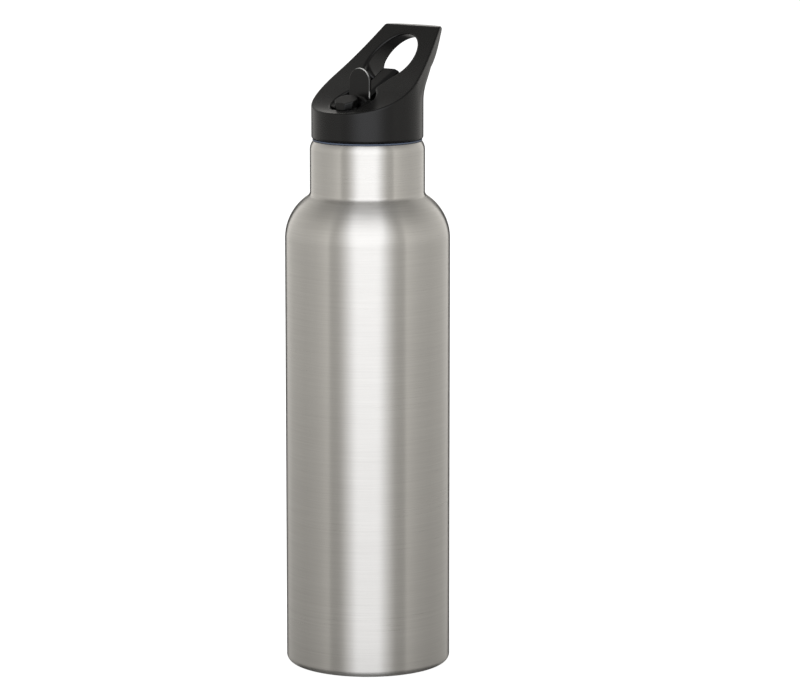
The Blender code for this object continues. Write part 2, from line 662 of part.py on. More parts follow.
def drum_trim(parent):
    """What is cut from the drum so that its front corners stay inside the knuckle."""
    right = [(x, y - HINGE_Y) for x, y in DRUM_TRIM]
    plan = right + [(-x, y) for x, y in reversed(right)]
    return prism("drum_trim", plan, -10.0 * MM, 10.0 * MM, parent, axis="Z")


def above_knuckle(parent):
    """Everything above the sloping plane that tops the knuckle and the drum."""
    low, high, top = -20.0 * MM, 20.0 * MM, 30.0 * MM
    front_y, front_h = from_hinge(KNUCKLE_FRONT_Y, KNUCKLE_TOP_H)
    outline = [(low, front_h + (low - front_y) * KNUCKLE_SLOPE)]
    outline += [(high, front_h + (high - front_y) * KNUCKLE_SLOPE), (high, top), (low, top)]
    return prism("above_knuckle", outline, low, high, parent)


def thumb_notch(parent):
    """The hollow between the knuckle and the tab, down to the line of the arm's top."""
    front, rear = -10.6 * MM, 2.0 * MM
    slope = math.tan(ARM_ANGLE)
    heights = [ARM_TOP_AT_TIP[1] + (y - ARM_TOP_AT_TIP[0]) * slope - GAP for y in (front, rear)]
    outline = [from_hinge(front, heights[0]), from_hinge(rear, heights[1])]
    outline += [from_hinge(rear, 30.0 * MM), from_hinge(front + 0.8 * MM, 30.0 * MM)]
    return prism("thumb_notch", outline, -12.0 * MM, 12.0 * MM, parent)


def arm_section(half):
    """Eight corners of the mouthpiece's section as (x, depth below its top)."""
    flat, drop = half - ARM_TOP_CHAMFER[0], ARM_TOP_CHAMFER[1]
    foot = half - ARM_FOOT_CHAMFER
    right = [(flat, 0.0), (half, drop), (half, ARM_DEPTH - ARM_FOOT_CHAMFER), (foot, ARM_DEPTH)]
    return right + [(-x, depth) for x, depth in reversed(right)]


def arm_solid(parent):
    """The mouthpiece: an eight-sided bar that widens from the drum to the tip."""
    along = Vector((0.0, math.cos(ARM_ANGLE), math.sin(ARM_ANGLE)))
    down = Vector((0.0, math.sin(ARM_ANGLE), -math.cos(ARM_ANGLE)))
    tip_y, tip_h = from_hinge(*ARM_TOP_AT_TIP)
    tip = Vector((0.0, tip_y, tip_h))
    length = (ARM_TOP_AT_TIP[0] - ARM_START_Y) / math.cos(ARM_ANGLE)
    rings = []
    for start, half in ((tip - along * length, ARM_ROOT_HALF), (tip, ARM_TIP_HALF)):
        section = arm_section(half)
        rings.append([start + down * depth + Vector((x, 0.0, 0.0)) for x, depth in section])
    return loft("mouthpiece", rings, parent)


def tab_solid(parent):
    """The thumb tab: an upright plate with a full round top."""
    foot, centre = TAB_FOOT_H - HINGE_H, TAB_ROUND_H - HINGE_H
    front = TAB_FRONT_Y - HINGE_Y
    outline = [(-TAB_HALF, foot), (TAB_HALF, foot)] + arc((0.0, centre), TAB_HALF, 0.0, 180.0, 12)
    rings = [[(x, y, z) for x, z in outline] for y in (front, front + TAB_THICKNESS)]
    return loft("thumb_tab", rings, parent)


def passage(name, start, end, parent):
    """A round bore from start to end, both (y, z) in the hinge's frame."""
    direction = Vector((0.0, end[0] - start[0], end[1] - start[1]))
    bm = bmesh.new()
    bmesh.ops.create_cone(bm, cap_ends=True, segments=16, radius1=BORE_R, radius2=BORE_R,
                          depth=direction.length)
    turn = Vector((0.0, 0.0, 1.0)).rotation_difference(direction).to_matrix()
    bmesh.ops.rotate(bm, verts=bm.verts, matrix=turn)
    middle = Vector((0.0, (start[0] + end[0]) / 2, (start[1] + end[1]) / 2))
    bmesh.ops.translate(bm, verts=bm.verts, vec=middle)
    return new_object(name, mesh_from(bm, name), parent)


def build_spout(parent, finish):
    spout = cylinder("spout", DRUM_R, -DRUM_HALF, DRUM_HALF, parent, finish, axis="X", steps=36)
    boolean(spout, drum_trim(parent))
    boolean(spout, knuckle_solid(parent), "UNION")
    boolean(spout, above_knuckle(parent))
    boolean(spout, thumb_notch(parent))
    boolean(spout, arm_solid(parent), "UNION")
    boolean(spout, tab_solid(parent), "UNION")
    tip_y, tip_h = from_hinge(*ARM_TOP_AT_TIP)
    half_depth = ARM_DEPTH / 2
    mouth = (tip_y + half_depth * math.sin(ARM_ANGLE), tip_h - half_depth * math.cos(ARM_ANGLE))
    inner = 33.0 * MM
    start = (mouth[0] - inner * math.cos(ARM_ANGLE), mouth[1] - inner * math.sin(ARM_ANGLE))
    end = (mouth[0] + 3.0 * MM * math.cos(ARM_ANGLE), mouth[1] + 3.0 * MM * math.sin(ARM_ANGLE))
    boolean(spout, passage("drink_bore", start, end, parent))
    reach = 9.0 * MM
    inlet = (reach * math.cos(INLET_ANGLE), reach * math.sin(INLET_ANGLE))
    boolean(spout, passage("inlet_bore", (0.0, 0.0), inlet, parent))
    hole_end = KNUCKLE_HALF + 2.0 * MM
    for side in (-1, 1):
        low, high = sorted((side * (PIN_INNER_X - GAP), side * hole_end))
        hole = cylinder("pin_bore_%s" % ("left" if side < 0 else "right"), PIN_R + 0.1 * MM, low, high,
                        parent, axis="X")
        boolean(spout, hole)
    return spout


def build_pins(lid, steel):
    for side, name in ((-1, "spout_pin_left"), (1, "spout_pin_right")):
        low, high = sorted((side * PIN_INNER_X, side * PIN_OUTER_X))
        cylinder(name, PIN_R, low, high, lid, steel, axis="X", centre=(HINGE_Y, HINGE_H))


# ---------------------------------------------------------------- assembly

def build():
    steel = material("brushed_steel", (0.60, 0.59, 0.57), 0.32, 1.0)
    inner_steel = material("inner_steel", (0.62, 0.61, 0.60), 0.38, 1.0)
    polished = material("polished_steel", (0.66, 0.65, 0.64), 0.2, 1.0)
    black = material("black_plastic", (0.018, 0.017, 0.017), 0.42)
    insert_black = material("insert_plastic", (0.03, 0.03, 0.03), 0.5)
    silicone = material("silicone", (0.62, 0.63, 0.64), 0.55)
    slate = material("slate_silicone", (0.10, 0.13, 0.18), 0.5)
    straw_clear = material("straw_plastic", (0.75, 0.77, 0.78), 0.3)
    solder = material("solder_glass", (0.30, 0.30, 0.32), 0.4)
    getter_grey = material("getter_alloy", (0.35, 0.35, 0.36), 0.6, 0.8)

    build_outer_shell(steel)
    build_inner_liner(inner_steel)
    build_base(steel, polished, solder, getter_grey)
    ring_low, ring_high = NECK_TOP + 0.15 * MM, LID_Z - 0.15 * MM
    ring = [(21.4 * MM, ring_high), (24.2 * MM, ring_high), (24.2 * MM, ring_low), (21.4 * MM, ring_low)]
    turned("neck_ring", ring, finish=slate)

    lid = empty("lid_axis", (0.0, 0.0, LID_Z))
    hinge = empty("spout_hinge", (0.0, HINGE_Y, HINGE_H), lid)
    spout_space = spout_space_cutters(lid)
    build_lid_shell(lid, black, spout_space)
    build_lid_insert(lid, insert_black, spout_space)
    build_lid_small_parts(lid, silicone, straw_clear)
    build_spout(hinge, black)
    build_pins(lid, steel)


clear_scene()
PARTS = collection("drinking_bottle")
CUTTERS = collection("cutters")
build()
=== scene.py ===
"""Looks of a vacuum drinking bottle: fine surfaces, finishes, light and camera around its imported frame.

Shapes are worked out in millimetres and made into meshes in metres. Lid pieces use the lid's own
height h above its bottom edge. Turned pieces come from outlines, moulded ones from distance fields.
"""

import math

import bpy
import numpy as np
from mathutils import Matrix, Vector


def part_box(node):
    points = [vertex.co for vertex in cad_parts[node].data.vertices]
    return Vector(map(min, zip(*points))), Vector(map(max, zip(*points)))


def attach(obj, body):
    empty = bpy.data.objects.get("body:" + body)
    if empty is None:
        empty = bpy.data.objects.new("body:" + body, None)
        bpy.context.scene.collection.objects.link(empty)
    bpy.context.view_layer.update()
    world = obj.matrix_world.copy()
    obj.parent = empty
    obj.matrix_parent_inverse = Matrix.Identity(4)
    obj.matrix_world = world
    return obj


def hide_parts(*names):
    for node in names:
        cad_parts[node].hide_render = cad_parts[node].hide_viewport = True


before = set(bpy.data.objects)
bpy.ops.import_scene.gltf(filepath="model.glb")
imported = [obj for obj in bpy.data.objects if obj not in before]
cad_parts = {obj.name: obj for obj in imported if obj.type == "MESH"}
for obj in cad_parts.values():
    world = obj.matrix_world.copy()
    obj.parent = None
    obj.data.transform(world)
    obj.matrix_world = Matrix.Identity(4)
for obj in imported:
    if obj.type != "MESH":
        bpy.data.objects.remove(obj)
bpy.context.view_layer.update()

# ---------------------------------------------------------------- driving sizes, in millimetres


def low(name):
    """The lowest corner of a CAD node's box."""
    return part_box(name)[0] * 1000


def high(name):
    """The highest corner of a CAD node's box."""
    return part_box(name)[1] * 1000


BODY_R = high("outer_shell").x
WALL = 0.8
FOOT_CORNER_R = 3.0
BODY_TOP = 191.2
SHOULDER_R = 22.6
NECK_R = 25.4
NECK_FILLET_R = 2.4
NECK_STRAIGHT_TOP = 230.5
NECK_TOP = high("outer_shell").z
NECK_TOP_R = 24.3
NECK_LIP = 0.25
LINER_GAP = 3.1
LINER_BOTTOM = low("inner_liner").z
LINER_CORNER_R = 8.0
MOUTH_R = 19.0
MOUTH_OUTER_R = 20.2
MOUTH_TOP = high("inner_liner").z
MOUTH_LIP_R = 0.55
NECK_HOLE_R = MOUTH_OUTER_R + 0.3
BASE_RECESS = 2.0
BASE_HOLE_R = 1.0
BASE_EDGE_R = 32.5
FOOT_INNER_R = 29.0
DIMPLE_RISE = 1.2
COVER_R = high("base_cover").x
COVER_THICKNESS = 0.6
RING_R = (21.4, 24.2)

# The lid and its pieces: a pair is a range, or a place as (y, h).
LID_Z = low("lid_shell").z
LID_HEIGHT = high("lid_shell").z - LID_Z
LID_R = 24.7
LID_INNER_R = 23.4
LID_CEILING = 11.3
LID_FOOT_ROUND = 1.1
TOP_FILLET_R = 0.5
TOP_FILLET_GROWTH = 1.3
TOP_FILLET_START_Y = 31.5
TOP_FILLET_RUN = 3.0
# The slanted face at its two ends: y, h and slope.
FACE_FRONT = (-24.7, 12.76, 0.165)
FACE_TOP = (31.25, 48.1, 0.985)
SIDE_TANGENT_Y = 6.6
SIDE_BOW = 0.00204
LEAN_START = 16.5
LEAN_BLEND = 8.0
LEAN_SLOPE = 0.5
REAR_FLATTEN_START = 31.0
REAR_FLATTEN = 1.2
REAR_CORNER_R = 1.8
REAR_CORNER_START = 20.0
REAR_CORNER_RUN = 24.0

THREAD_PITCH = 4.0
THREAD_TURNS = 1.5
THREAD_DEPTH = 0.85
THREAD_HALF = 1.2
THREAD_FLANK = 0.7
THREAD_FADE = 0.125
MOUTH_THREAD_START = -0.2
LID_THREAD_START = 1.8

LOOP_CENTRE = (15.0, 33.5)
LOOP_HALF_WIDTH = 11.6
LOOP_RISE = 13.5
LOOP_DROP = 11.0
LOOP_TILT = math.radians(15.0)
LOOP_FRONT_Y = 6.0
CORE_HALF = 11.0
CORE_Y = (3.5, 19.0)
CORE_FOOT_H = 6.0
CORE_TOP_H = 13.0
CORE_SLOPE = 0.522
CORE_SLOPE_END_Y = 15.0

RECESS_Y = -9.5
RECESS_R = 10.0
RECESS_FLOOR_H = 12.6
RECESS_ROUND = 0.8
CHANNEL_FRONT_Y = -5.0
CHANNEL_HALF = 5.0
FLARE_START_Y = 1.0
RECESS_REAR_HALF = 11.0
RECESS_REAR_Y = 12.0
RECESS_REAR_ROUND = 4.0

HINGE = ((low("spout_pin_left").y + high("spout_pin_left").y) / 2,
         (low("spout_pin_left").z + high("spout_pin_left").z) / 2 - LID_Z)
PIN_R = 1.0
PIN_HOLE_END = 8.3
PIN_SOCKET_X = (2.7, 8.7)
POCKET_R = 7.0
POCKET_HALF = 4.2
CHEEK_POCKET_R = 6.0
CHEEK_POCKET_HALF = 6.1
EAR_X = (5.6, 11.5)
EAR_Y = (-14.8, -7.0)
EAR_DROP = 0.75
EAR_FOOT_H = 12.0

DRUM_R = 6.1
DRUM_HALF = 3.9
KNUCKLE_HALF = 5.5
KNUCKLE_FRONT_Y = -18.5
KNUCKLE_REAR_Y = -10.3
KNUCKLE_FOOT_H = 12.2
KNUCKLE_FULL_H = 18.5
KNUCKLE_DRAFT = 0.14
KNUCKLE_TOP_H = 16.6
KNUCKLE_SLOPE = 0.4
KNUCKLE_ROUND = 0.25
# Upright flats of the spout: a point of each in plan, and the flat's normal.
DRUM_FLAT = ((1.2, -18.2), (0.736, -0.677))
FRONT_FLAT = ((3.1, KNUCKLE_FRONT_Y), (0.735, -0.678))
REAR_FLAT = ((KNUCKLE_HALF, -13.0), (0.681, 0.732))

ARM_ANGLE = math.radians(29.0)
ARM_TIP = (15.3, 29.9)
ARM_START_Y = -9.5
ARM_ROOT_HALF = 4.0
ARM_TIP_HALF = 5.0
ARM_DEPTH = 6.5
# The chamfer along the arm's top edges: its width, and its normal across and down.
ARM_TOP_CHAMFER = (2.0, (0.482, -0.876))
ARM_FOOT_CHAMFER = 1.1
ARM_CLEARANCE = 0.8
ARM_SPACE_HALF = 4.9
ARM_SPACE_Y = (-8.0, 16.5)
TAB_Y = (-5.6, -4.1)
TAB_HALF = 5.8
TAB_FOOT_H = 17.0
TAB_ROUND_H = 25.5
BORE_R = 2.1
ARM_BORE_ALONG = (-33.0, 3.0)
INLET_REACH = (0.0, 9.0)
INLET_ANGLE = math.radians(-155.0)

INSERT_R = 23.1
INSERT_FOOT = 0.8
INSERT_TOP = 11.0
INSERT_ROOT_R = 22.2
GROOVE_TOP = 9.3
HUB_R = 19.1
HUB_FOOT = 8.0
WELL_R = 8.0
WELL_HALF = 5.4
WELL_H = (2.0, 10.5)
BOSS_R = 5.0
BOSS_H = (4.2, 10.0)
NIPPLE_R = 3.0
NIPPLE_BARB = 0.12
NIPPLE_WAVE = 2.2
NIPPLE_H = (-7.0, 5.7)
PORT_H = (-20.0, 8.0)
SEAL_SEAT_R = 3.9
SEAL_SEAT_H = (5.6, 12.0)
SEAL_DRUM_R = 6.35
SEAL_MIDDLE = 7.0
SEAL_TOP = 8.6
STRAW_Y = (low("straw").y + high("straw").y) / 2
STRAW_INNER_R = 3.3
STRAW_OUTER_R = 4.1
STRAW_CUT_TOP = -200.0
STRAW_CUT_RISE = 1.5
STRAW_CUT_SLOPE = 0.5
VENT_Y = (low("vent_valve").y + high("vent_valve").y) / 2
VENT_R = 2.5
VENT_SEAT_H = (0.0, 20.0)
VENT_HOLE_R = 0.8
VENT_HOLE_H = (13.0, 20.0)

# ---------------------------------------------------------------- colours, camera and stage, in metres

BLACK = (0.002, 0.0019, 0.0019)
# Colour of the painted highlight on the thumb tab's rim.
TAB_RIM_HIGHLIGHT = (0.7, 0.7, 0.68)

CAMERA_PLACE = (1.0429, -1.2315, 0.40856)
CAMERA_TILT = math.radians(80.5786)
CAMERA_AZIMUTH = math.radians(39.75)
CAMERA_LENS = 165.56

# The tent's light: (degrees from the camera's direction, strength) stops.
KEY_BANDS = [(0.0, 1.35), (15.0, 1.35), (20.0, 0.9), (24.0, 0.7), (30.0, 0.4), (35.0, 0.13), (39.0, 0.0)]
SIDE_BANDS = [(0.0, 0.80), (53.5, 0.80), (54.5, 1.15), (63.0, 1.02), (75.0, 0.88), (95.0, 0.78),
              (125.0, 0.78), (140.0, 0.86), (148.0, 1.0), (152.0, 0.9), (155.0, 0.08), (171.0, 0.08),
              (174.0, 1.0), (180.0, 1.0)]
BACK_BANDS = [(0.0, 0.0), (140.0, 0.0), (160.0, 0.4), (180.0, 0.4)]
TENT_R = 1.0
TENT_FOOT = -0.6
TENT_TOP = 2.0
BACKDROP_R = 19.0
FLOOR_REACH = 20.0
FLOOR_Z = -0.00015


# ---------------------------------------------------------------- node helpers

def new_material(name):
    made = bpy.data.materials.new(name)
    made.use_nodes = True
    return made, made.node_tree, made.node_tree.nodes["Principled BSDF"]


def node(tree, kind, **values):
    made = tree.nodes.new(kind)
    for key, value in values.items():
        setattr(made, key, value)
    return made


def noise(tree, coordinates, scale, detail, rough=0.55):
    """Noise over coordinates stretched by a scale for each axis, in features per metre."""
    stretch = node(tree, "ShaderNodeMapping")
    stretch.inputs["Scale"].default_value = scale
    tree.links.new(coordinates, stretch.inputs["Vector"])
    made = node(tree, "ShaderNodeTexNoise")
    made.inputs["Scale"].default_value = 1.0
    made.inputs["Detail"].default_value = detail
    made.inputs["Roughness"].default_value = rough
    tree.links.new(stretch.outputs["Vector"], made.inputs["Vector"])
    return made.outputs["Fac"]


def spread(tree, value, low_out, high_out, low_in=0.25, high_in=0.75):
    """A value mapped from one range to another."""
    made = node(tree, "ShaderNodeMapRange")
    made.inputs["From Min"].default_value = low_in
    made.inputs["From Max"].default_value = high_in
    made.inputs["To Min"].default_value = low_out
    made.inputs["To Max"].default_value = high_out
    tree.links.new(value, made.inputs["Value"])
    return made.outputs["Result"]


def maths(tree, operation, first, second=0.0):
    """A sum on one or two values, each a number or a socket."""
    made = node(tree, "ShaderNodeMath", operation=operation)
    for socket, value in zip(made.inputs, (first, second)):
        if isinstance(value, (int, float)):
            socket.default_value = value
        else:
            tree.links.new(value, socket)
    return made.outputs["Value"]


def tint(tree, factor, first, second):
    """A colour between two, by a factor."""
    made = node(tree, "ShaderNodeMix", data_type="RGBA")
    made.inputs["A"].default_value = (*first, 1.0)
    made.inputs["B"].default_value = (*second, 1.0)
    tree.links.new(factor, made.inputs["Factor"])
    return made.outputs["Result"]


def bump(tree, shader, height, distance, strength):
    """Relief on a shader, that deep in metres."""
    made = node(tree, "ShaderNodeBump")
    made.inputs["Distance"].default_value = distance
    made.inputs["Strength"].default_value = strength
    tree.links.new(height, made.inputs["Height"])
    tree.links.new(made.outputs["Normal"], shader.inputs["Normal"])


def object_coordinates(tree):
    return node(tree, "ShaderNodeTexCoord").outputs["Object"]


# ---------------------------------------------------------------- finishes

def brushed_steel(name, dark, light, roughness, anisotropy, grain=1.0):
    """Steel brushed round the axis: fine level lines that stretch every reflection up and down."""
    made, tree, shader = new_material(name)
    place = object_coordinates(tree)
    fine = noise(tree, place, (45.0, 45.0, 5200.0 * grain), 2.0)
    coarse = noise(tree, place, (16.0, 16.0, 1300.0 * grain), 2.0)
    cloud = noise(tree, place, (22.0, 22.0, 60.0), 2.0)
    lines = maths(tree, "ADD", maths(tree, "MULTIPLY", fine, 0.7), maths(tree, "MULTIPLY", coarse, 0.3))
    tree.links.new(tint(tree, spread(tree, lines, 0.0, 1.0, 0.3, 0.7), dark, light),
                   shader.inputs["Base Color"])
    handled = maths(tree, "ADD", spread(tree, lines, -0.02, 0.02), spread(tree, cloud, -0.01, 0.015))
    tree.links.new(maths(tree, "ADD", handled, roughness), shader.inputs["Roughness"])
    shader.inputs["Metallic"].default_value = 1.0
    shader.inputs["Anisotropic"].default_value = anisotropy
    shader.inputs["Anisotropic Rotation"].default_value = 0.25
    round_axis = node(tree, "ShaderNodeTangent", direction_type="RADIAL", axis="Z")
    tree.links.new(round_axis.outputs["Tangent"], shader.inputs["Tangent"])
    bump(tree, shader, lines, 0.00001, 0.4)
    return made


def spun_steel(name):
    """Steel with rings about the axis, as a pressed disc has after polishing."""
    made, tree, shader = new_material(name)
    place = object_coordinates(tree)
    flat = node(tree, "ShaderNodeVectorMath", operation="MULTIPLY")
    flat.inputs[1].default_value = (1.0, 1.0, 0.0)
    tree.links.new(place, flat.inputs[0])
    radius = node(tree, "ShaderNodeVectorMath", operation="LENGTH")
    tree.links.new(flat.outputs["Vector"], radius.inputs[0])
    rings = node(tree, "ShaderNodeTexNoise", noise_dimensions="1D")
    rings.inputs["Scale"].default_value = 3500.0
    rings.inputs["Detail"].default_value = 2.0
    tree.links.new(radius.outputs["Value"], rings.inputs["W"])
    value = rings.outputs["Fac"]
    tree.links.new(tint(tree, value, (0.50, 0.49, 0.47), (0.60, 0.59, 0.57)), shader.inputs["Base Color"])
    tree.links.new(spread(tree, value, 0.20, 0.30), shader.inputs["Roughness"])
    shader.inputs["Metallic"].default_value = 1.0
    bump(tree, shader, value, 0.00001, 0.5)
    return made


def moulded_plastic(name, colour, wear_and_highlight, roughness, specular):
    """Satin black plastic with spark-eroded grain, and sharp edges painted paler and smoother: partly
    handling wear, partly a painted highlight.
    """
    made, tree, shader = new_material(name)
    place = object_coordinates(tree)
    grain = noise(tree, place, (2600.0, 2600.0, 2600.0), 3.0, 0.6)
    cloud = noise(tree, place, (70.0, 70.0, 70.0), 3.0)
    geometry = node(tree, "ShaderNodeNewGeometry")
    # Sharp convex edges are painted paler, partly as wear and partly as a painted highlight along them.
    edges = spread(tree, geometry.outputs["Pointiness"], 0.0, 1.0, 0.53, 0.62)
    edge_wear_and_highlight = maths(tree, "MULTIPLY", edges, spread(tree, cloud, 0.35, 1.0))
    tree.links.new(tint(tree, edge_wear_and_highlight, colour, wear_and_highlight), shader.inputs["Base Color"])
    base = maths(tree, "ADD", spread(tree, cloud, -0.03, 0.04), spread(tree, grain, -0.03, 0.03))
    polish = maths(tree, "MULTIPLY", edge_wear_and_highlight, 0.06)
    rough = maths(tree, "SUBTRACT", maths(tree, "ADD", base, roughness), polish)
    tree.links.new(rough, shader.inputs["Roughness"])
    shader.inputs["Specular IOR Level"].default_value = specular
    bump(tree, shader, grain, 0.00003, 0.35)
    return made


def lid_metres(h):
    """A lid height as metres above the floor, as shaders see it."""
    return (LID_Z + h) / 1000


def spout_plastic():
    """The lid's black plastic, with a painted highlight along the thumb tab's front rim, at its top and
    right.
    """
    made = moulded_plastic("spout_black_plastic", BLACK, (0.006, 0.0058, 0.0058), 0.31, 0.27)
    tree = made.node_tree
    shader = tree.nodes["Principled BSDF"]
    plain = shader.inputs["Base Color"].links[0].from_socket
    place = node(tree, "ShaderNodeSeparateXYZ")
    tree.links.new(object_coordinates(tree), place.inputs["Vector"])
    aside, back, height = (place.outputs[axis] for axis in "XYZ")
    rise = maths(tree, "MAXIMUM", maths(tree, "SUBTRACT", height, lid_metres(TAB_ROUND_H)), 0.0)
    squares = maths(tree, "ADD", maths(tree, "POWER", aside, 2.0), maths(tree, "POWER", rise, 2.0))
    # Painted highlight: a thin pale band along the tab's round top and right edge, standing in for light
    # glinting on its fillet.
    rim = spread(tree, maths(tree, "SQRT", squares), 0.0, 1.0, 0.00552, 0.00566)
    front_face = spread(tree, back, 1.0, 0.0, -0.0052, -0.0050)
    above_foot = spread(tree, height, 0.0, 1.0, lid_metres(18.0), lid_metres(19.0))
    right_half = spread(tree, aside, 0.0, 1.0, -0.003, 0.001)
    upper = spread(tree, rise, 0.12, 1.0, 0.002, 0.005)
    lower = spread(tree, height, 0.7, 0.0, lid_metres(20.5), lid_metres(22.0))
    for share in (front_face, above_foot, right_half, maths(tree, "MAXIMUM", upper, lower)):
        rim = maths(tree, "MULTIPLY", rim, share)
    highlight_blend = node(tree, "ShaderNodeMix", data_type="RGBA")
    highlight_blend.inputs["B"].default_value = (*TAB_RIM_HIGHLIGHT, 1.0)
    tree.links.new(plain, highlight_blend.inputs["A"])
    tree.links.new(rim, highlight_blend.inputs["Factor"])
    tree.links.new(highlight_blend.outputs["Result"], shader.inputs["Base Color"])
    return made


def silicone(name, dark, light, roughness, subsurface):
    """Soft rubber with a dusty, slightly uneven skin."""
    made, tree, shader = new_material(name)
    place = object_coordinates(tree)
    cloud = noise(tree, place, (180.0, 180.0, 180.0), 4.0)
    grain = noise(tree, place, (4000.0, 4000.0, 4000.0), 2.0)
    tree.links.new(tint(tree, cloud, dark, light), shader.inputs["Base Color"])
    tree.links.new(spread(tree, cloud, roughness - 0.08, roughness + 0.08), shader.inputs["Roughness"])
    shader.inputs["Subsurface Weight"].default_value = subsurface
    shader.inputs["Subsurface Scale"].default_value = 0.002
    bump(tree, shader, grain, 0.00002, 0.3)
    return made


def straw_plastic():
    """Milky, see-through tube with faint lines along its length from extrusion."""
    made, tree, shader = new_material("straw_milky_plastic")
    place = object_coordinates(tree)
    lines = noise(tree, place, (1500.0, 1500.0, 12.0), 2.0)
    tree.links.new(tint(tree, lines, (0.78, 0.80, 0.82), (0.90, 0.92, 0.93)), shader.inputs["Base Color"])
    tree.links.new(spread(tree, lines, 0.22, 0.38), shader.inputs["Roughness"])
    shader.inputs["Transmission Weight"].default_value = 0.55
    shader.inputs["IOR"].default_value = 1.46
    bump(tree, shader, lines, 0.00002, 0.3)
    return made


def sintered(name, dark, light, roughness, metallic):
    """A dull, grainy lump, such as solder glass or a getter pill."""
    made, tree, shader = new_material(name)
    grain = noise(tree, object_coordinates(tree), (3000.0, 3000.0, 3000.0), 4.0)
    tree.links.new(tint(tree, grain, dark, light), shader.inputs["Base Color"])
    tree.links.new(spread(tree, grain, roughness - 0.1, roughness + 0.1), shader.inputs["Roughness"])
    shader.inputs["Metallic"].default_value = metallic
    bump(tree, shader, grain, 0.00005, 0.5)
    return made


# ---------------------------------------------------------------- mesh helpers

SHARP_ANGLE = math.radians(40.0)
ARC_STEP = math.radians(15.0)
MOST_OF_SIDE = 0.48
SMOOTH_ROUNDS = 2


def shaped(name, points, faces, finish, body, replaced):
    """A smooth piece from points in millimetres, riding on a body in place of a CAD node."""
    mesh = bpy.data.meshes.new(name)
    mesh.from_pydata((np.asarray(points, float) * 0.001).tolist(), [], faces)
    mesh.update()
    mesh.shade_smooth()
    mesh.set_sharp_from_angle(angle=SHARP_ANGLE)
    mesh.materials.append(finish)
    made = bpy.data.objects.new(name, mesh)
    bpy.context.scene.collection.objects.link(made)
    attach(made, body)
    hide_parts(replaced)
    return made


def arc(centre, radius, start, end, count):
    """Points from start to end, in degrees, with both ends."""
    angles = [math.radians(start + (end - start) * i / count) for i in range(count + 1)]
    return [(centre[0] + radius * math.cos(a), centre[1] + radius * math.sin(a)) for a in angles]


def rounded(corners):
    """A closed outline from (x, y, radius) corners, each corner turned into an arc."""
    outline = []
    for i, (x, y, radius) in enumerate(corners):
        point = Vector((x, y))
        before = Vector(corners[i - 1][:2]) - point
        after = Vector(corners[(i + 1) % len(corners)][:2]) - point
        if radius <= 0.0:
            outline.append((x, y))
            continue
        opening = before.angle(after)
        most = MOST_OF_SIDE * min(before.length, after.length)
        reach = min(radius / math.tan(opening / 2), most)
        true_radius = reach * math.tan(opening / 2)
        towards = (before.normalized() + after.normalized()).normalized()
        centre = point + towards * (true_radius / math.sin(opening / 2))
        first = point + before.normalized() * reach - centre
        last = point + after.normalized() * reach - centre
        turn = first.angle_signed(last)
        steps = max(2, math.ceil(abs(turn) / ARC_STEP))
        for step in range(steps + 1):
            angle = -turn * step / steps
            outline.append((centre.x + first.x * math.cos(angle) - first.y * math.sin(angle),
                            centre.y + first.x * math.sin(angle) + first.y * math.cos(angle)))
    return outline


def turned(outline, steps=192, move=None):
    """Points and faces of a closed (radius, height) outline, run down its outer side, turned about Z.

    move, if given, takes and returns arrays of radius, height and angle.
    """
    outline = [(max(r, 0.0), z) for r, z in outline]
    points, rings = [], []
    angles = np.linspace(0.0, 2 * math.pi, steps, endpoint=False)
    for radius, height in outline:
        count = steps if radius > 1e-6 else 1
        rings.append((len(points), count))
        around = angles[:count]
        radii, heights = np.full(count, radius), np.full(count, height)
        if move is not None and count > 1:
            radii, heights = move(radii, heights, around)
        points += list(zip(radii * np.cos(around), radii * np.sin(around), heights))
    faces = []
    for (first, count), (second, other) in zip(rings, rings[1:] + rings[:1]):
        for i in range(steps):
            j = (i + 1) % steps
            corners = [first + i % count, second + i % other, second + j % other, first + j % count]
            kept = [c for k, c in enumerate(corners) if c != corners[k - 1]]
            if len(kept) > 2:
                faces.append(kept)
    return np.array(points), faces


def net(field, lowest, highest, step):
    """Points and quads of the surface where a field of x, y, z is zero, inside a box."""
    axes = [np.arange(a, b + step, step) for a, b in zip(lowest, highest)]
    value = field(*np.meshgrid(*axes, indexing="ij"))
    size = np.array(value.shape)
    strides = np.array([size[1] * size[2], size[2], 1])
    crossings, cells = [], []
    for d in range(3):
        along, across, up = (np.eye(3, dtype=int)[(d + k) % 3] for k in range(3))
        near = value[tuple(slice(0, n - a) for n, a in zip(size, along))]
        far = value[tuple(slice(a, n) for n, a in zip(size, along))]
        base = np.argwhere((near < 0) != (far < 0))
        start, end = near[tuple(base.T)], far[tuple(base.T)]
        crossings.append(np.array(lowest) + step * (base + (start / (start - end))[:, None] * along))
        ring = np.stack([(base + shift) @ strides for shift in (-across - up, -up, 0, -across)], 1)
        ring[start >= 0] = ring[start >= 0][:, ::-1]
        cells.append(ring)
    quads = np.concatenate(cells)
    _, index = np.unique(quads.ravel(), return_inverse=True)
    quads = index.reshape(-1, 4)
    spots = np.repeat(np.concatenate(crossings), 4, axis=0)
    share = np.bincount(quads.ravel())
    points = np.stack([np.bincount(quads.ravel(), spots[:, k]) / share for k in range(3)], 1)
    for _ in range(SMOOTH_ROUNDS):
        points = onto(field, relaxed(points, quads), step)
    return points, quads.tolist()


def relaxed(points, quads):
    """Each point moved halfway to the average of its neighbours."""
    ends = np.concatenate([quads[:, [0, 1]], quads[:, [1, 2]], quads[:, [2, 3]], quads[:, [3, 0]]])
    count = np.bincount(ends[:, 0], minlength=len(points))
    sums = [np.bincount(ends[:, 0], points[ends[:, 1], k], len(points)) for k in range(3)]
    return 0.5 * points + 0.5 * np.stack(sums, 1) / count[:, None]


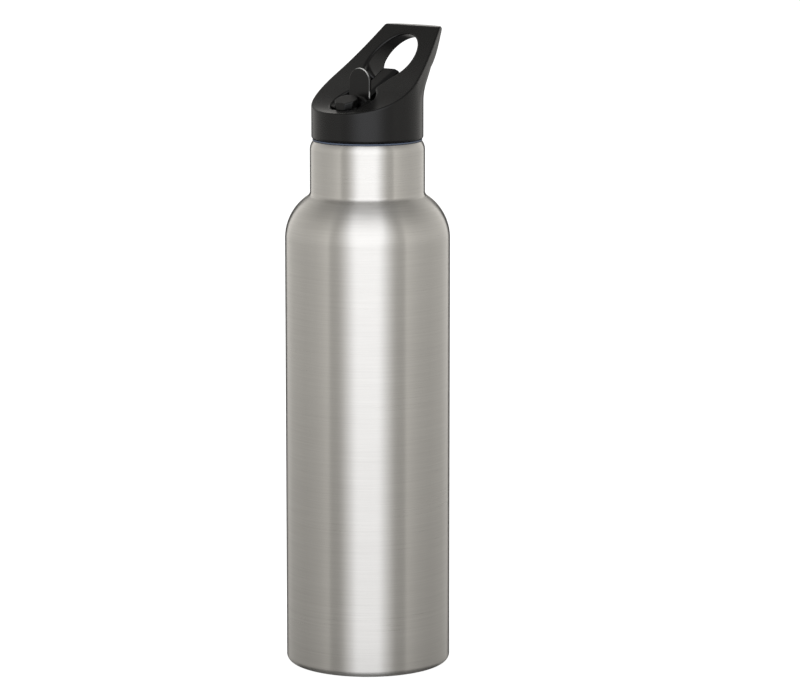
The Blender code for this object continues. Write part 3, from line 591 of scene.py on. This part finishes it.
def onto(field, points, most):
    """Points moved along the field's gradient onto its zero surface."""
    small = 0.02
    for _ in range(3):
        value = field(*points.T)
        slope = np.empty_like(points)
        for k in range(3):
            shift = small * np.eye(3)[k]
            slope[:, k] = (field(*(points + shift).T) - field(*(points - shift).T)) / (2 * small)
        step = value / np.maximum((slope ** 2).sum(1), 0.25)
        points = points - np.clip(step[:, None] * slope, -most, most)
    return points


def both(first, second, radius=0.0):
    """Inside both fields, with a round of that radius along their edge."""
    if np.all(np.asarray(radius) == 0.0):
        return np.maximum(first, second)
    deep = np.minimum(-radius, np.maximum(first, second))
    return deep + np.hypot(np.maximum(radius + first, 0.0), np.maximum(radius + second, 0.0))


def either(first, second, radius=0.0):
    """Inside one field or the other, with a fillet of that radius where they meet."""
    return -both(-first, -second, radius)


def less(first, second, radius=0.0):
    """The first field with the second cut away."""
    return both(first, -second, radius)


def between(value, first, last):
    """Inside the slab from the first value to the last."""
    return np.maximum(first - value, value - last)


def tube_x(y, h, centre, radius):
    """A round bar along X."""
    return np.hypot(y - centre[0], h - centre[1]) - radius


def ridge(x, y, h, start):
    """How far a thread stands out of its wall, from 0 to 1, and fading at its two ends."""
    turn = np.mod(np.arctan2(y, x) / (2 * math.pi), 1.0)
    height = np.zeros_like(h)
    for lap in (0.0, 1.0):
        along = turn + lap
        fade = np.clip(np.minimum(along, THREAD_TURNS - along) / THREAD_FADE, 0.0, 1.0)
        flank = np.clip((THREAD_HALF - np.abs(h - start - THREAD_PITCH * along)) / THREAD_FLANK, 0.0, 1.0)
        height = np.maximum(height, fade * flank * flank * (3 - 2 * flank))
    return height


# ---------------------------------------------------------------- bottle

def shoulder(offset, crown_steps, fillet_steps):
    """The shoulder and neck fillet from the neck down, offset inwards from the outside."""
    centre_r = BODY_R - SHOULDER_R
    meet = math.degrees(math.acos((NECK_R + NECK_FILLET_R - centre_r) / (SHOULDER_R + NECK_FILLET_R)))
    fillet_z = BODY_TOP + (SHOULDER_R + NECK_FILLET_R) * math.sin(math.radians(meet))
    fillet = arc((NECK_R + NECK_FILLET_R, fillet_z), NECK_FILLET_R + offset, 180.0, 180.0 + meet,
                 fillet_steps)
    crown = arc((centre_r, BODY_TOP), SHOULDER_R - offset, meet, 0.0, crown_steps)
    return fillet + crown[1:]


def spaced(top, bottom, radius, count):
    """Points down a straight side, so that its quads stay compact."""
    return [(radius, top + (bottom - top) * i / count) for i in range(1, count)]


def outer_shell_outline():
    """The outer body from its turned-in neck down to the foot, and back up inside."""
    lip_rise = NECK_TOP - NECK_LIP - NECK_STRAIGHT_TOP
    turn_in = 2 * math.degrees(math.atan2(NECK_R - NECK_TOP_R, lip_rise))
    turn_r = lip_rise / math.sin(math.radians(turn_in))
    rim = rounded([(NECK_HOLE_R, NECK_TOP - WALL, 0.0), (NECK_HOLE_R, NECK_TOP, 0.15),
                   (NECK_TOP_R - 0.15, NECK_TOP, NECK_LIP), (NECK_TOP_R, NECK_TOP - 0.3, 0.0)])[1:-1]
    outside = rim + arc((NECK_R - turn_r, NECK_STRAIGHT_TOP), turn_r, turn_in, 0.0, 8)
    outside += shoulder(0.0, 40, 12)
    outside += spaced(BODY_TOP, FOOT_CORNER_R, BODY_R, 12)
    outside += arc((BODY_R - FOOT_CORNER_R, FOOT_CORNER_R), FOOT_CORNER_R, 0.0, -90.0, 12)
    inside = [(BASE_EDGE_R + 0.3, 0.0), (BASE_EDGE_R + 0.3, WALL), (BODY_R - FOOT_CORNER_R, WALL),
              (BODY_R - WALL, FOOT_CORNER_R)]
    inside += list(reversed(shoulder(WALL, 20, 6)))
    inside += [(NECK_R - WALL, NECK_STRAIGHT_TOP), (NECK_TOP_R - 0.9, NECK_TOP - WALL)]
    return outside + inside + [(NECK_HOLE_R, NECK_TOP - WALL)]


def liner_side(offset):
    """The liner's shoulder, side and bottom corner, offset inwards from its outside."""
    side = shoulder(LINER_GAP + offset, 24, 8)
    centre = (BODY_R - LINER_GAP - LINER_CORNER_R, LINER_BOTTOM + LINER_CORNER_R)
    side += spaced(BODY_TOP, centre[1], BODY_R - LINER_GAP - offset, 8)
    return side + arc(centre, LINER_CORNER_R - offset, 0.0, -90.0, 12)


def liner_outline():
    """The liner from its lip down the threaded mouth and the side, and back up inside."""
    neck_r = NECK_R - LINER_GAP
    mouth_foot = NECK_TOP - 4.0
    thread_low = LID_Z - 1.9
    rows = 44
    lip = rounded([(MOUTH_R, mouth_foot - 0.5, 0.0), (MOUTH_R, MOUTH_TOP, MOUTH_LIP_R),
                   (MOUTH_OUTER_R, MOUTH_TOP, MOUTH_LIP_R), (MOUTH_OUTER_R, thread_low, 0.0)])[1:-1]
    last = lip[-1][1]
    outside = lip + [(MOUTH_OUTER_R, last + (thread_low - last) * (i + 1) / rows) for i in range(rows)]
    outside += [(MOUTH_OUTER_R, mouth_foot), (neck_r, mouth_foot - 5.0)]
    inside = [(0.0, LINER_BOTTOM), (0.0, LINER_BOTTOM + WALL)]
    inside += list(reversed(liner_side(WALL)))
    inside += [(neck_r - WALL, mouth_foot - 5.3), (MOUTH_R, mouth_foot - 0.5)]
    return outside + liner_side(0.0) + inside


def with_mouth_thread(radii, heights, angles):
    """The liner's outside pushed out where its thread runs."""
    if abs(radii[0] - MOUTH_OUTER_R) > 1e-6:
        return radii, heights
    height = ridge(radii * np.cos(angles), radii * np.sin(angles), heights - LID_Z, MOUTH_THREAD_START)
    return radii + THREAD_DEPTH * height, heights


def base_outline():
    """The pressed foot: a flat ring, a recess, and a dimple with the evacuation hole."""
    top = BASE_RECESS + WALL
    return rounded([
        (BASE_HOLE_R, top + DIMPLE_RISE, 0.1), (5.0, top + DIMPLE_RISE, 0.8), (6.6, top, 0.8),
        (FOOT_INNER_R - 1.2, top, 0.8), (FOOT_INNER_R + 0.4, WALL, 0.6), (BASE_EDGE_R, WALL, 0.1),
        (BASE_EDGE_R, 0.0, 0.15), (FOOT_INNER_R, 0.0, 0.5), (FOOT_INNER_R - 1.6, BASE_RECESS, 0.8),
        (6.3, BASE_RECESS, 0.5), (4.7, BASE_RECESS + DIMPLE_RISE, 0.8),
        (BASE_HOLE_R, BASE_RECESS + DIMPLE_RISE, 0.1)])


def build_bottle():
    steel = brushed_steel("outer_brushed_steel", (0.53, 0.517, 0.493), (0.61, 0.597, 0.57), 0.29, 1.0)
    inner = brushed_steel("liner_satin_steel", (0.52, 0.51, 0.495), (0.62, 0.61, 0.59), 0.42, 0.5, 0.5)
    slate = silicone("ring_slate_silicone", (0.045, 0.06, 0.095), (0.06, 0.08, 0.12), 0.5, 0.0)
    points, faces = turned(outer_shell_outline(), 256)
    shaped("outer_shell_fine", points, faces, steel, "bottle", "outer_shell")
    points, faces = turned(liner_outline(), 224, with_mouth_thread)
    shaped("inner_liner_fine", points, faces, inner, "bottle", "inner_liner")
    points, faces = turned(base_outline())
    shaped("outer_base_fine", points, faces, spun_steel("base_spun_steel"), "bottle",
           "outer_base")
    top = high("base_cover").z
    cover = rounded([(0.0, top, 0.0), (COVER_R, top, 0.1), (COVER_R, top - COVER_THICKNESS, 0.3),
                     (0.0, top - COVER_THICKNESS, 0.0)])
    points, faces = turned(cover)
    shaped("base_cover_fine", points, faces, spun_steel("cover_spun_steel"), "bottle",
           "base_cover")
    bottom, top = low("neck_ring").z, high("neck_ring").z
    ring = rounded([(RING_R[0], top, 0.15), (RING_R[1], top, 0.25), (RING_R[1], bottom, 0.25),
                    (RING_R[0], bottom, 0.15)])
    points, faces = turned(ring)
    shaped("neck_ring_fine", points, faces, slate, "neck_ring", "neck_ring")


# ---------------------------------------------------------------- lid fields

def face_height(y):
    """Height of the slanted face: a cubic between its front rim and its top edge."""
    span = FACE_TOP[0] - FACE_FRONT[0]
    t = np.clip((y - FACE_FRONT[0]) / span, -0.3, 1.3)
    rise = FACE_FRONT[1] * (2 * t ** 3 - 3 * t ** 2 + 1) + FACE_TOP[1] * (3 * t ** 2 - 2 * t ** 3)
    return rise + span * (FACE_FRONT[2] * (t ** 3 - 2 * t ** 2 + t) + FACE_TOP[2] * (t ** 3 - t ** 2))


def face_field(y, h):
    small = 0.1
    slope = (face_height(y + small) - face_height(y - small)) / (2 * small)
    return (h - face_height(y)) / np.hypot(1.0, slope)


def wall_field(x, y, h):
    """The lid's side wall: round in front, swept in at the sides and leaning back at the rear."""
    across = np.abs(x)
    tangent_x = math.sqrt(LID_R ** 2 - SIDE_TANGENT_Y ** 2)
    behind = np.maximum(y - SIDE_TANGENT_Y, 0.0)
    lean = SIDE_TANGENT_Y / tangent_x + 2 * SIDE_BOW * behind
    side = tangent_x - SIDE_TANGENT_Y / tangent_x * behind - SIDE_BOW * behind ** 2
    flank = np.where(y < SIDE_TANGENT_Y, np.hypot(x, y) - LID_R, (across - side) / np.hypot(1.0, lean))
    above = h - LEAN_START
    push = np.where(above < LEAN_BLEND, LEAN_SLOPE * np.maximum(above, 0.0) ** 2 / (2 * LEAN_BLEND),
                    LEAN_SLOPE * (above - LEAN_BLEND / 2))
    radius = LID_R + REAR_FLATTEN * np.maximum(h - REAR_FLATTEN_START, 0.0)
    centre = LID_R + push - radius
    rear = np.hypot(x, np.maximum(y - centre, 0.0)) - radius
    corner = REAR_CORNER_R * np.clip((h - REAR_CORNER_START) / REAR_CORNER_RUN, 0.001, 1.0)
    return both(flank, rear, corner)


def arm_floor(y):
    """Height of the clearance plane under the resting spout's arm."""
    drop = (ARM_DEPTH + ARM_CLEARANCE) / math.cos(ARM_ANGLE)
    return ARM_TIP[1] + (y - ARM_TIP[0]) * math.tan(ARM_ANGLE) - drop


def recess_field(x, y, h):
    """The hollow that the spout lies in: round in front, with a channel that widens to the rear."""
    across = np.abs(x)
    pocket = np.hypot(x, y - RECESS_Y) - RECESS_R
    widening = (RECESS_REAR_HALF - CHANNEL_HALF) / (RECESS_REAR_Y - FLARE_START_Y)
    half = CHANNEL_HALF + widening * np.clip(y - FLARE_START_Y, 0.0, RECESS_REAR_Y - FLARE_START_Y)
    channel = both((across - half) / math.hypot(1.0, widening * 0.6), -(y - CHANNEL_FRONT_Y))
    beyond = np.maximum(y - RECESS_REAR_Y, 0.0)
    back = np.hypot(across / RECESS_REAR_HALF, beyond / RECESS_REAR_ROUND) - 1.0
    channel = both(channel, RECESS_REAR_ROUND * back)
    floor = np.maximum(RECESS_FLOOR_H - h, (arm_floor(y) - h) * math.cos(ARM_ANGLE))
    return both(either(pocket, channel, RECESS_ROUND), floor, RECESS_ROUND)


def finger_hole(x, y, h):
    """The carry loop's hole: half an ellipse above its widest line, a flatter half below."""
    rise = (y - LOOP_CENTRE[0]) * math.sin(LOOP_TILT) + (h - LOOP_CENTRE[1]) * math.cos(LOOP_TILT)
    up = np.where(rise > 0.0, LOOP_RISE, LOOP_DROP)
    share = np.hypot(x / LOOP_HALF_WIDTH, rise / up)
    steep = np.maximum(np.hypot(x / LOOP_HALF_WIDTH ** 2, rise / up ** 2), 1e-6)
    return np.maximum((share - 1.0) * share / steep, LOOP_FRONT_Y - y)


def loop_core(x, y, h):
    """The hollow under the carry loop, open to the insert."""
    core = both(np.abs(x) - CORE_HALF, between(y, *CORE_Y))
    core = both(core, h - CORE_TOP_H - CORE_SLOPE * (np.minimum(y, CORE_SLOPE_END_Y) - CORE_Y[0]))
    return both(core, CORE_FOOT_H - h)


def spout_space(x, y, h):
    """The room that the drum, its cheeks and the arm's root turn in."""
    across = np.abs(x)
    drum = both(tube_x(y, h, HINGE, POCKET_R), across - POCKET_HALF)
    cheeks = both(tube_x(y, h, HINGE, CHEEK_POCKET_R), across - CHEEK_POCKET_HALF)
    arm = both(across - ARM_SPACE_HALF, (arm_floor(y) - h) * math.cos(ARM_ANGLE), 0.5)
    arm = both(arm, between(y, *ARM_SPACE_Y))
    return either(either(drum, cheeks), arm)


def lid_shell_field(x, y, h):
    top_fillet = TOP_FILLET_GROWTH * np.clip((y - TOP_FILLET_START_Y) / TOP_FILLET_RUN, 0.0, 1.0)
    body = both(wall_field(x, y, h), h - LID_HEIGHT, TOP_FILLET_R + top_fillet)
    body = both(body, -h, LID_FOOT_ROUND)
    body = both(body, face_field(y, h), 0.5)
    cavity = both(np.hypot(x, y) - LID_INNER_R, h - LID_CEILING, 1.0)
    body = less(body, cavity, 0.2)
    body = less(body, recess_field(x, y, h), 0.6)
    body = less(body, finger_hole(x, y, h), 1.1)
    ears = both(between(np.abs(x), *EAR_X), between(y, *EAR_Y), 0.3)
    ears = both(ears, np.maximum(face_field(y, h) + EAR_DROP, EAR_FOOT_H - h), 0.3)
    body = either(body, ears, 0.3)
    body = less(body, spout_space(x, y, h), 0.25)
    body = less(body, both(tube_x(y, h, HINGE, PIN_R + 0.3), np.abs(x) - PIN_HOLE_END))
    body = less(body, loop_core(x, y, h))
    return less(body, both(np.hypot(x, y - VENT_Y) - VENT_HOLE_R, between(h, *VENT_HOLE_H)), 0.15)


def arm_place(y, h):
    """How far a point lies past the arm's tip, and how deep under its top face."""
    along = (y - ARM_TIP[0]) * math.cos(ARM_ANGLE) + (h - ARM_TIP[1]) * math.sin(ARM_ANGLE)
    depth = (y - ARM_TIP[0]) * math.sin(ARM_ANGLE) - (h - ARM_TIP[1]) * math.cos(ARM_ANGLE)
    return along, depth


def flat(across, y, point, normal):
    """How far outside an upright flat through a point in plan."""
    return normal[0] * (across - point[0]) + normal[1] * (y - point[1])


def knuckle_field(across, y, h):
    """The drum and the faceted knuckle over it, cut down behind to where the arm's top runs out."""
    drum = both(tube_x(y, h, HINGE, DRUM_R), across - DRUM_HALF, 0.4)
    drum = both(drum, np.maximum(flat(across, y, *DRUM_FLAT), -(y - DRUM_FLAT[0][1])))
    draft = KNUCKLE_DRAFT * (KNUCKLE_FULL_H - h)
    rear = flat(across, y, *REAR_FLAT)
    plan = across - KNUCKLE_HALF + draft
    for side in (flat(across, y, *FRONT_FLAT) + draft, -(y - KNUCKLE_FRONT_Y), rear, y - KNUCKLE_REAR_Y):
        plan = both(plan, side, KNUCKLE_ROUND)
    top = (h - KNUCKLE_TOP_H - (y - KNUCKLE_FRONT_Y) * KNUCKLE_SLOPE) / math.hypot(1.0, KNUCKLE_SLOPE)
    knuckle = both(either(drum, both(plan, KNUCKLE_FOOT_H - h, 0.3), 0.3), top, KNUCKLE_ROUND)
    notch = both(-arm_place(y, h)[1] - 0.3, -np.maximum(rear, y - KNUCKLE_REAR_Y + 0.1))
    return less(knuckle, notch, 0.2)


def arm_field(across, along, depth):
    """The arm down to the mouthpiece: widening to its tip, with chamfers along its top and foot."""
    length = (ARM_TIP[0] - ARM_START_Y) / math.cos(ARM_ANGLE)
    half = ARM_TIP_HALF + (ARM_TIP_HALF - ARM_ROOT_HALF) * np.clip(along / length, -1.0, 0.0)
    width, normal = ARM_TOP_CHAMFER
    shoulder_cut = normal[0] * (across - half + width) + normal[1] * depth
    foot_cut = math.sqrt(0.5) * (across - half + depth - ARM_DEPTH + ARM_FOOT_CHAMFER)
    section = both(across - half, between(depth, 0.0, ARM_DEPTH), 0.3)
    section = both(section, both(shoulder_cut, foot_cut), 0.2)
    return both(both(section, along, 0.6), -along - length)


def spout_field(x, y, h):
    across = np.abs(x)
    along, depth = arm_place(y, h)
    tab = both(np.hypot(x, np.maximum(h - TAB_ROUND_H, 0.0)) - TAB_HALF, between(y, *TAB_Y), 0.3)
    tab = both(tab, TAB_FOOT_H - h)
    spout = either(knuckle_field(across, y, h), arm_field(across, along, depth), 0.4)
    spout = either(spout, tab, 0.6)
    bore = both(np.hypot(x, depth - ARM_DEPTH / 2) - BORE_R, between(along, *ARM_BORE_ALONG))
    spout = less(spout, bore, 0.5)
    out = (y - HINGE[0]) * math.cos(INLET_ANGLE) + (h - HINGE[1]) * math.sin(INLET_ANGLE)
    aside = -(y - HINGE[0]) * math.sin(INLET_ANGLE) + (h - HINGE[1]) * math.cos(INLET_ANGLE)
    spout = less(spout, both(np.hypot(x, aside) - BORE_R, between(out, *INLET_REACH)), 0.2)
    return less(spout, both(tube_x(y, h, HINGE, PIN_R + 0.1), between(across, *PIN_SOCKET_X)))


def insert_field(x, y, h):
    around = np.hypot(x, y)
    body = both(around - INSERT_R, between(h, INSERT_FOOT, INSERT_TOP), 0.4)
    wall = around - INSERT_ROOT_R + THREAD_DEPTH * ridge(x, y, h, LID_THREAD_START)
    hollow = both(wall, h - GROOVE_TOP)
    hub = both(around - HUB_R, HUB_FOOT - h, 0.3)
    body = less(body, both(hollow, -hub), 0.1)
    well = both(tube_x(y, h, HINGE, WELL_R), np.abs(x) - WELL_HALF, 0.6)
    well = both(well, between(h, *WELL_H))
    spigot = np.hypot(x, y - STRAW_Y)
    boss = both(spigot - BOSS_R, between(h, *BOSS_H), 0.4)
    nipple = both(spigot - NIPPLE_R - NIPPLE_BARB * np.cos(h * NIPPLE_WAVE), between(h, *NIPPLE_H), 0.4)
    body = either(either(either(body, well, 0.5), boss, 0.5), nipple, 0.4)
    body = less(body, spout_space(x, y, h), 0.1)
    body = less(body, both(spigot - SEAL_SEAT_R, between(h, *SEAL_SEAT_H)))
    body = less(body, both(spigot - BORE_R, between(h, *PORT_H)), 0.2)
    return less(body, both(np.hypot(x, y - VENT_Y) - VENT_R, between(h, *VENT_SEAT_H)), 0.2)


# ---------------------------------------------------------------- lid pieces

def lifted(points):
    """Points in the lid's frame moved to the bottle's."""
    return points + np.array([0.0, 0.0, LID_Z])


def moulded(name, node_name, field, step, finish, body):
    """A piece of the lid or spout from its field, in place of a CAD node."""
    margin = 1.5
    raise_by = np.array([0.0, 0.0, LID_Z])
    lowest = np.array(low(node_name)) - raise_by - margin
    highest = np.array(high(node_name)) - raise_by + margin
    points, faces = net(field, lowest, highest, step)
    return shaped(name, lifted(points), faces, finish, body, node_name)


def turned_at(name, node_name, outline, y, finish, body, steps, move=None):
    """A small turned lid piece whose axis stands at a given y."""
    points, faces = turned(outline, steps, move)
    return shaped(name, lifted(points + np.array([0.0, y, 0.0])), faces, finish, body, node_name)


def slanted_end(radii, heights, angles):
    """The straw's lowest rows, tilted with the slanted cut at its end."""
    if heights[0] > STRAW_CUT_TOP:
        return radii, heights
    return radii, heights + STRAW_CUT_RISE + STRAW_CUT_SLOPE * radii * np.sin(angles)


def trimmed_round(radii, heights, angles):
    """The spout seal's top, hollowed to the drum that it presses on."""
    if heights[0] < SEAL_MIDDLE:
        return radii, heights
    y = STRAW_Y + radii * np.sin(angles) - HINGE[0]
    return radii, np.minimum(heights, HINGE[1] - np.sqrt(SEAL_DRUM_R ** 2 - y ** 2) + (heights - SEAL_TOP))


def straw_outline():
    """The straw's wall, with rows of points up its length, so that its quads stay compact."""
    end, top = low("straw").z - LID_Z, high("straw").z - LID_Z
    chamfer = 0.1
    rows = 24
    outline = [(STRAW_INNER_R, top), (STRAW_INNER_R + chamfer, top), (STRAW_OUTER_R - chamfer, top),
               (STRAW_OUTER_R, top - chamfer)]
    outline += [(STRAW_OUTER_R, end + (top - end) * (1 - i / rows)) for i in range(1, rows)]
    outline += [(STRAW_OUTER_R, end), (STRAW_INNER_R, end)]
    return outline + [(STRAW_INNER_R, end + (top - end) * i / rows) for i in range(1, rows)]


def build_pins():
    """The two hinge pins, turned about the hinge's axis."""
    bright = brushed_steel("pin_steel_ground", (0.5, 0.49, 0.48), (0.6, 0.59, 0.58), 0.3, 0.0, 0.2)
    for name in ("spout_pin_left", "spout_pin_right"):
        first, last = low(name).x, high(name).x
        pin = rounded([(0.0, last, 0.0), (PIN_R, last, 0.25), (PIN_R, first, 0.25), (0.0, first, 0.0)])
        points, faces = turned(pin, 48)
        points = np.stack([points[:, 2], points[:, 0] + HINGE[0], HINGE[1] + points[:, 1] + LID_Z], 1)
        shaped(name + "_fine", points, faces, bright, "lid", name)


def build_lid():
    black = moulded_plastic("lid_black_plastic", BLACK, (0.005, 0.0048, 0.0048), 0.28, 0.28)
    dull = moulded_plastic("insert_black_plastic", (0.006, 0.006, 0.006), (0.012, 0.012, 0.012), 0.46, 0.4)
    clear = silicone("seal_clear_silicone", (0.55, 0.56, 0.57), (0.66, 0.67, 0.68), 0.5, 0.3)
    moulded("lid_shell_fine", "lid_shell", lid_shell_field, 0.42, black, "lid")
    moulded("spout_fine", "spout", spout_field, 0.3, spout_plastic(), "spout")
    moulded("lid_insert_fine", "lid_insert", insert_field, 0.42, dull, "lid")

    gasket = rounded([(19.4, 9.0, 0.3), (21.0, 9.0, 0.5), (21.0, 7.5, 0.5), (19.4, 7.5, 0.3)])
    turned_at("mouth_gasket_fine", "mouth_gasket", gasket, 0.0, clear, "mouth_gasket", 192)
    seal = rounded([(2.4, SEAL_TOP, 0.2), (3.6, SEAL_TOP, 0.2), (3.6, 5.9, 0.2), (2.4, 5.9, 0.2)])
    turned_at("spout_seal_fine", "spout_seal", seal, STRAW_Y, clear, "lid", 64, trimmed_round)
    valve = rounded([(0.5, 12.0, 0.1), (3.6, 12.0, 0.3), (3.6, 11.3, 0.2), (2.2, 11.3, 0.1),
                     (2.2, 7.6, 0.4), (0.9, 4.4, 0.2), (0.5, 4.4, 0.1)])
    turned_at("vent_valve_fine", "vent_valve", valve, VENT_Y, clear, "lid", 64)
    turned_at("straw_fine", "straw", straw_outline(), STRAW_Y, straw_plastic(), "lid", 64,
              slanted_end)
    build_pins()


def finish_hidden():
    """The two small pieces sealed in the base keep their CAD shape and get a real finish."""
    solder = sintered("seal_solder_glass", (0.18, 0.18, 0.20), (0.32, 0.32, 0.34), 0.4, 0.0)
    alloy = sintered("getter_pressed_alloy", (0.2, 0.2, 0.21), (0.36, 0.36, 0.37), 0.6, 0.8)
    for name, finish in (("vacuum_seal", solder), ("getter", alloy)):
        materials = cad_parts[name].data.materials
        materials.clear()
        materials.append(finish)


# ---------------------------------------------------------------- stage

def staged(name, points, faces):
    """A stage mesh from points in metres."""
    mesh = bpy.data.meshes.new(name)
    mesh.from_pydata(points, [], faces)
    made = bpy.data.objects.new(name, mesh)
    bpy.context.scene.collection.objects.link(made)
    return made


def glowing(name):
    """A material that only gives light, with its tree and its emission shader."""
    made, tree, shader = new_material(name)
    tree.nodes.remove(shader)
    glow = node(tree, "ShaderNodeEmission")
    tree.links.new(glow.outputs["Emission"], tree.nodes["Material Output"].inputs["Surface"])
    return made, tree, glow


def round_wall(name, radius, low_z, high_z):
    """An upright stage wall all round the bottle."""
    count = 96
    around = [2 * math.pi * i / count for i in range(count)]
    points = [(radius * math.sin(a), -radius * math.cos(a), z) for z in (low_z, high_z) for a in around]
    faces = [(i, (i + 1) % count, count + (i + 1) % count, count + i) for i in range(count)]
    return staged(name, points, faces)


def build_floor():
    """A white floor whose glow is dimmed close to the bottle as a painted shadow round its foot, and clear
    from below, to show the base.
    """
    corners = [(x * FLOOR_REACH, y * FLOOR_REACH, FLOOR_Z) for x, y in ((-1, -1), (1, -1), (1, 1), (-1, 1))]
    floor = staged("floor", corners, [(0, 1, 2, 3)])
    made, tree, shader = new_material("pale_floor")
    shader.inputs["Base Color"].default_value = (0.3, 0.3, 0.3, 1.0)
    shader.inputs["Roughness"].default_value = 0.9
    shader.inputs["Specular IOR Level"].default_value = 0.0
    shader.inputs["Emission Color"].default_value = (1.0, 1.0, 1.0, 1.0)
    distance = node(tree, "ShaderNodeVectorMath", operation="LENGTH")
    tree.links.new(object_coordinates(tree), distance.inputs[0])
    # Painted shadow: the floor's glow drops from 1.05 to 0.92 within about 12 cm of the bottle's axis.
    tree.links.new(spread(tree, distance.outputs["Value"], 0.92, 1.05, 0.03, 0.12),
                   shader.inputs["Emission Strength"])
    clear = node(tree, "ShaderNodeBsdfTransparent")
    sided = node(tree, "ShaderNodeMixShader")
    tree.links.new(node(tree, "ShaderNodeNewGeometry").outputs["Backfacing"], sided.inputs["Fac"])
    tree.links.new(shader.outputs["BSDF"], sided.inputs[1])
    tree.links.new(clear.outputs["BSDF"], sided.inputs[2])
    tree.links.new(sided.outputs["Shader"], tree.nodes["Material Output"].inputs["Surface"])
    floor.data.materials.append(made)
    floor.visible_glossy = False


def build_backdrop():
    """A plain white wall far behind, which gives no light."""
    wall = round_wall("backdrop", BACKDROP_R, -BACKDROP_R, BACKDROP_R)
    made, _, glow = glowing("backdrop_white")
    glow.inputs["Strength"].default_value = 1.05
    wall.data.materials.append(made)
    wall.visible_glossy = False
    wall.visible_diffuse = False
    wall.visible_shadow = False


def bands(tree, angle, levels):
    """A level for each angle, in radians, between (degrees, level) stops."""
    ramp = node(tree, "ShaderNodeValToRGB")
    tree.links.new(maths(tree, "DIVIDE", angle, math.pi), ramp.inputs["Fac"])
    while len(ramp.color_ramp.elements) < len(levels):
        ramp.color_ramp.elements.new(0.5)
    for stop, (turn, level) in zip(ramp.color_ramp.elements, levels):
        stop.position = turn / 180.0
        stop.color = (level, level, level, 1.0)
    return ramp.outputs["Color"]


def build_tent():
    """A round light tent: a broad white front, warm grey sides and dark gaps that draw the edges."""
    tent = round_wall("light_tent", TENT_R, TENT_FOOT, TENT_TOP)
    tent.rotation_euler.z = CAMERA_AZIMUTH
    tent.visible_camera = False
    made, tree, glow = glowing("tent_light")
    place = node(tree, "ShaderNodeSeparateXYZ")
    tree.links.new(object_coordinates(tree), place.inputs["Vector"])
    height = place.outputs["Z"]
    front = maths(tree, "MULTIPLY", place.outputs["Y"], -1.0)
    angle = maths(tree, "ABSOLUTE", maths(tree, "ARCTAN2", place.outputs["X"], front))
    widened = maths(tree, "SUBTRACT", angle, spread(tree, height, 0.0, math.radians(9.0), 0.0, 0.5))
    key_rise = spread(tree, height, 0.7, 1.0, TENT_FOOT, 0.1)
    side_rise = spread(tree, height, 0.35, 1.0, -0.35, 0.15)
    back_rise = spread(tree, height, 0.0, 1.0, 0.3, 0.5)
    top_fade = spread(tree, height, 1.0, 0.45, 0.4, 1.3)
    key = maths(tree, "MULTIPLY", bands(tree, widened, KEY_BANDS), key_rise)
    side = maths(tree, "MULTIPLY", bands(tree, angle, SIDE_BANDS), side_rise)
    back = maths(tree, "MULTIPLY", bands(tree, angle, BACK_BANDS), back_rise)
    side = maths(tree, "MULTIPLY", maths(tree, "ADD", side, back), top_fade)
    tree.links.new(tint(tree, key, (1.02, 1.0, 0.96), (0.99, 1.0, 1.03)), glow.inputs["Color"])
    tree.links.new(maths(tree, "ADD", key, side), glow.inputs["Strength"])
    tent.data.materials.append(made)


def build_world():
    """Dim overhead and straight down, dark just below the horizon; the light tent stands between."""
    world = bpy.data.worlds.new("studio")
    bpy.context.scene.world = world
    world.use_nodes = True
    tree = world.node_tree
    direction = node(tree, "ShaderNodeTexCoord").outputs["Generated"]
    parts = node(tree, "ShaderNodeSeparateXYZ")
    tree.links.new(direction, parts.inputs["Vector"])
    above = spread(tree, parts.outputs["Z"], 0.02, 0.32, -0.5, 0.6)
    below = spread(tree, parts.outputs["Z"], 0.15, 0.02, -0.8, -0.6)
    tree.links.new(maths(tree, "MAXIMUM", above, below), tree.nodes["Background"].inputs["Strength"])
    tree.nodes["Background"].inputs["Color"].default_value = (1.0, 1.0, 1.0, 1.0)


def build_camera():
    data = bpy.data.cameras.new("camera")
    data.lens = CAMERA_LENS
    data.sensor_width = 36.0
    data.dof.use_dof = False
    data.clip_start = 0.05
    camera = bpy.data.objects.new("camera", data)
    camera.location = CAMERA_PLACE
    camera.rotation_euler = (CAMERA_TILT, 0.0, CAMERA_AZIMUTH)
    bpy.context.scene.collection.objects.link(camera)
    bpy.context.scene.camera = camera


build_camera()
build_bottle()
build_lid()
finish_hidden()
build_floor()
build_backdrop()
build_tent()
build_world()
bpy.context.scene.view_settings.view_transform = "Standard"
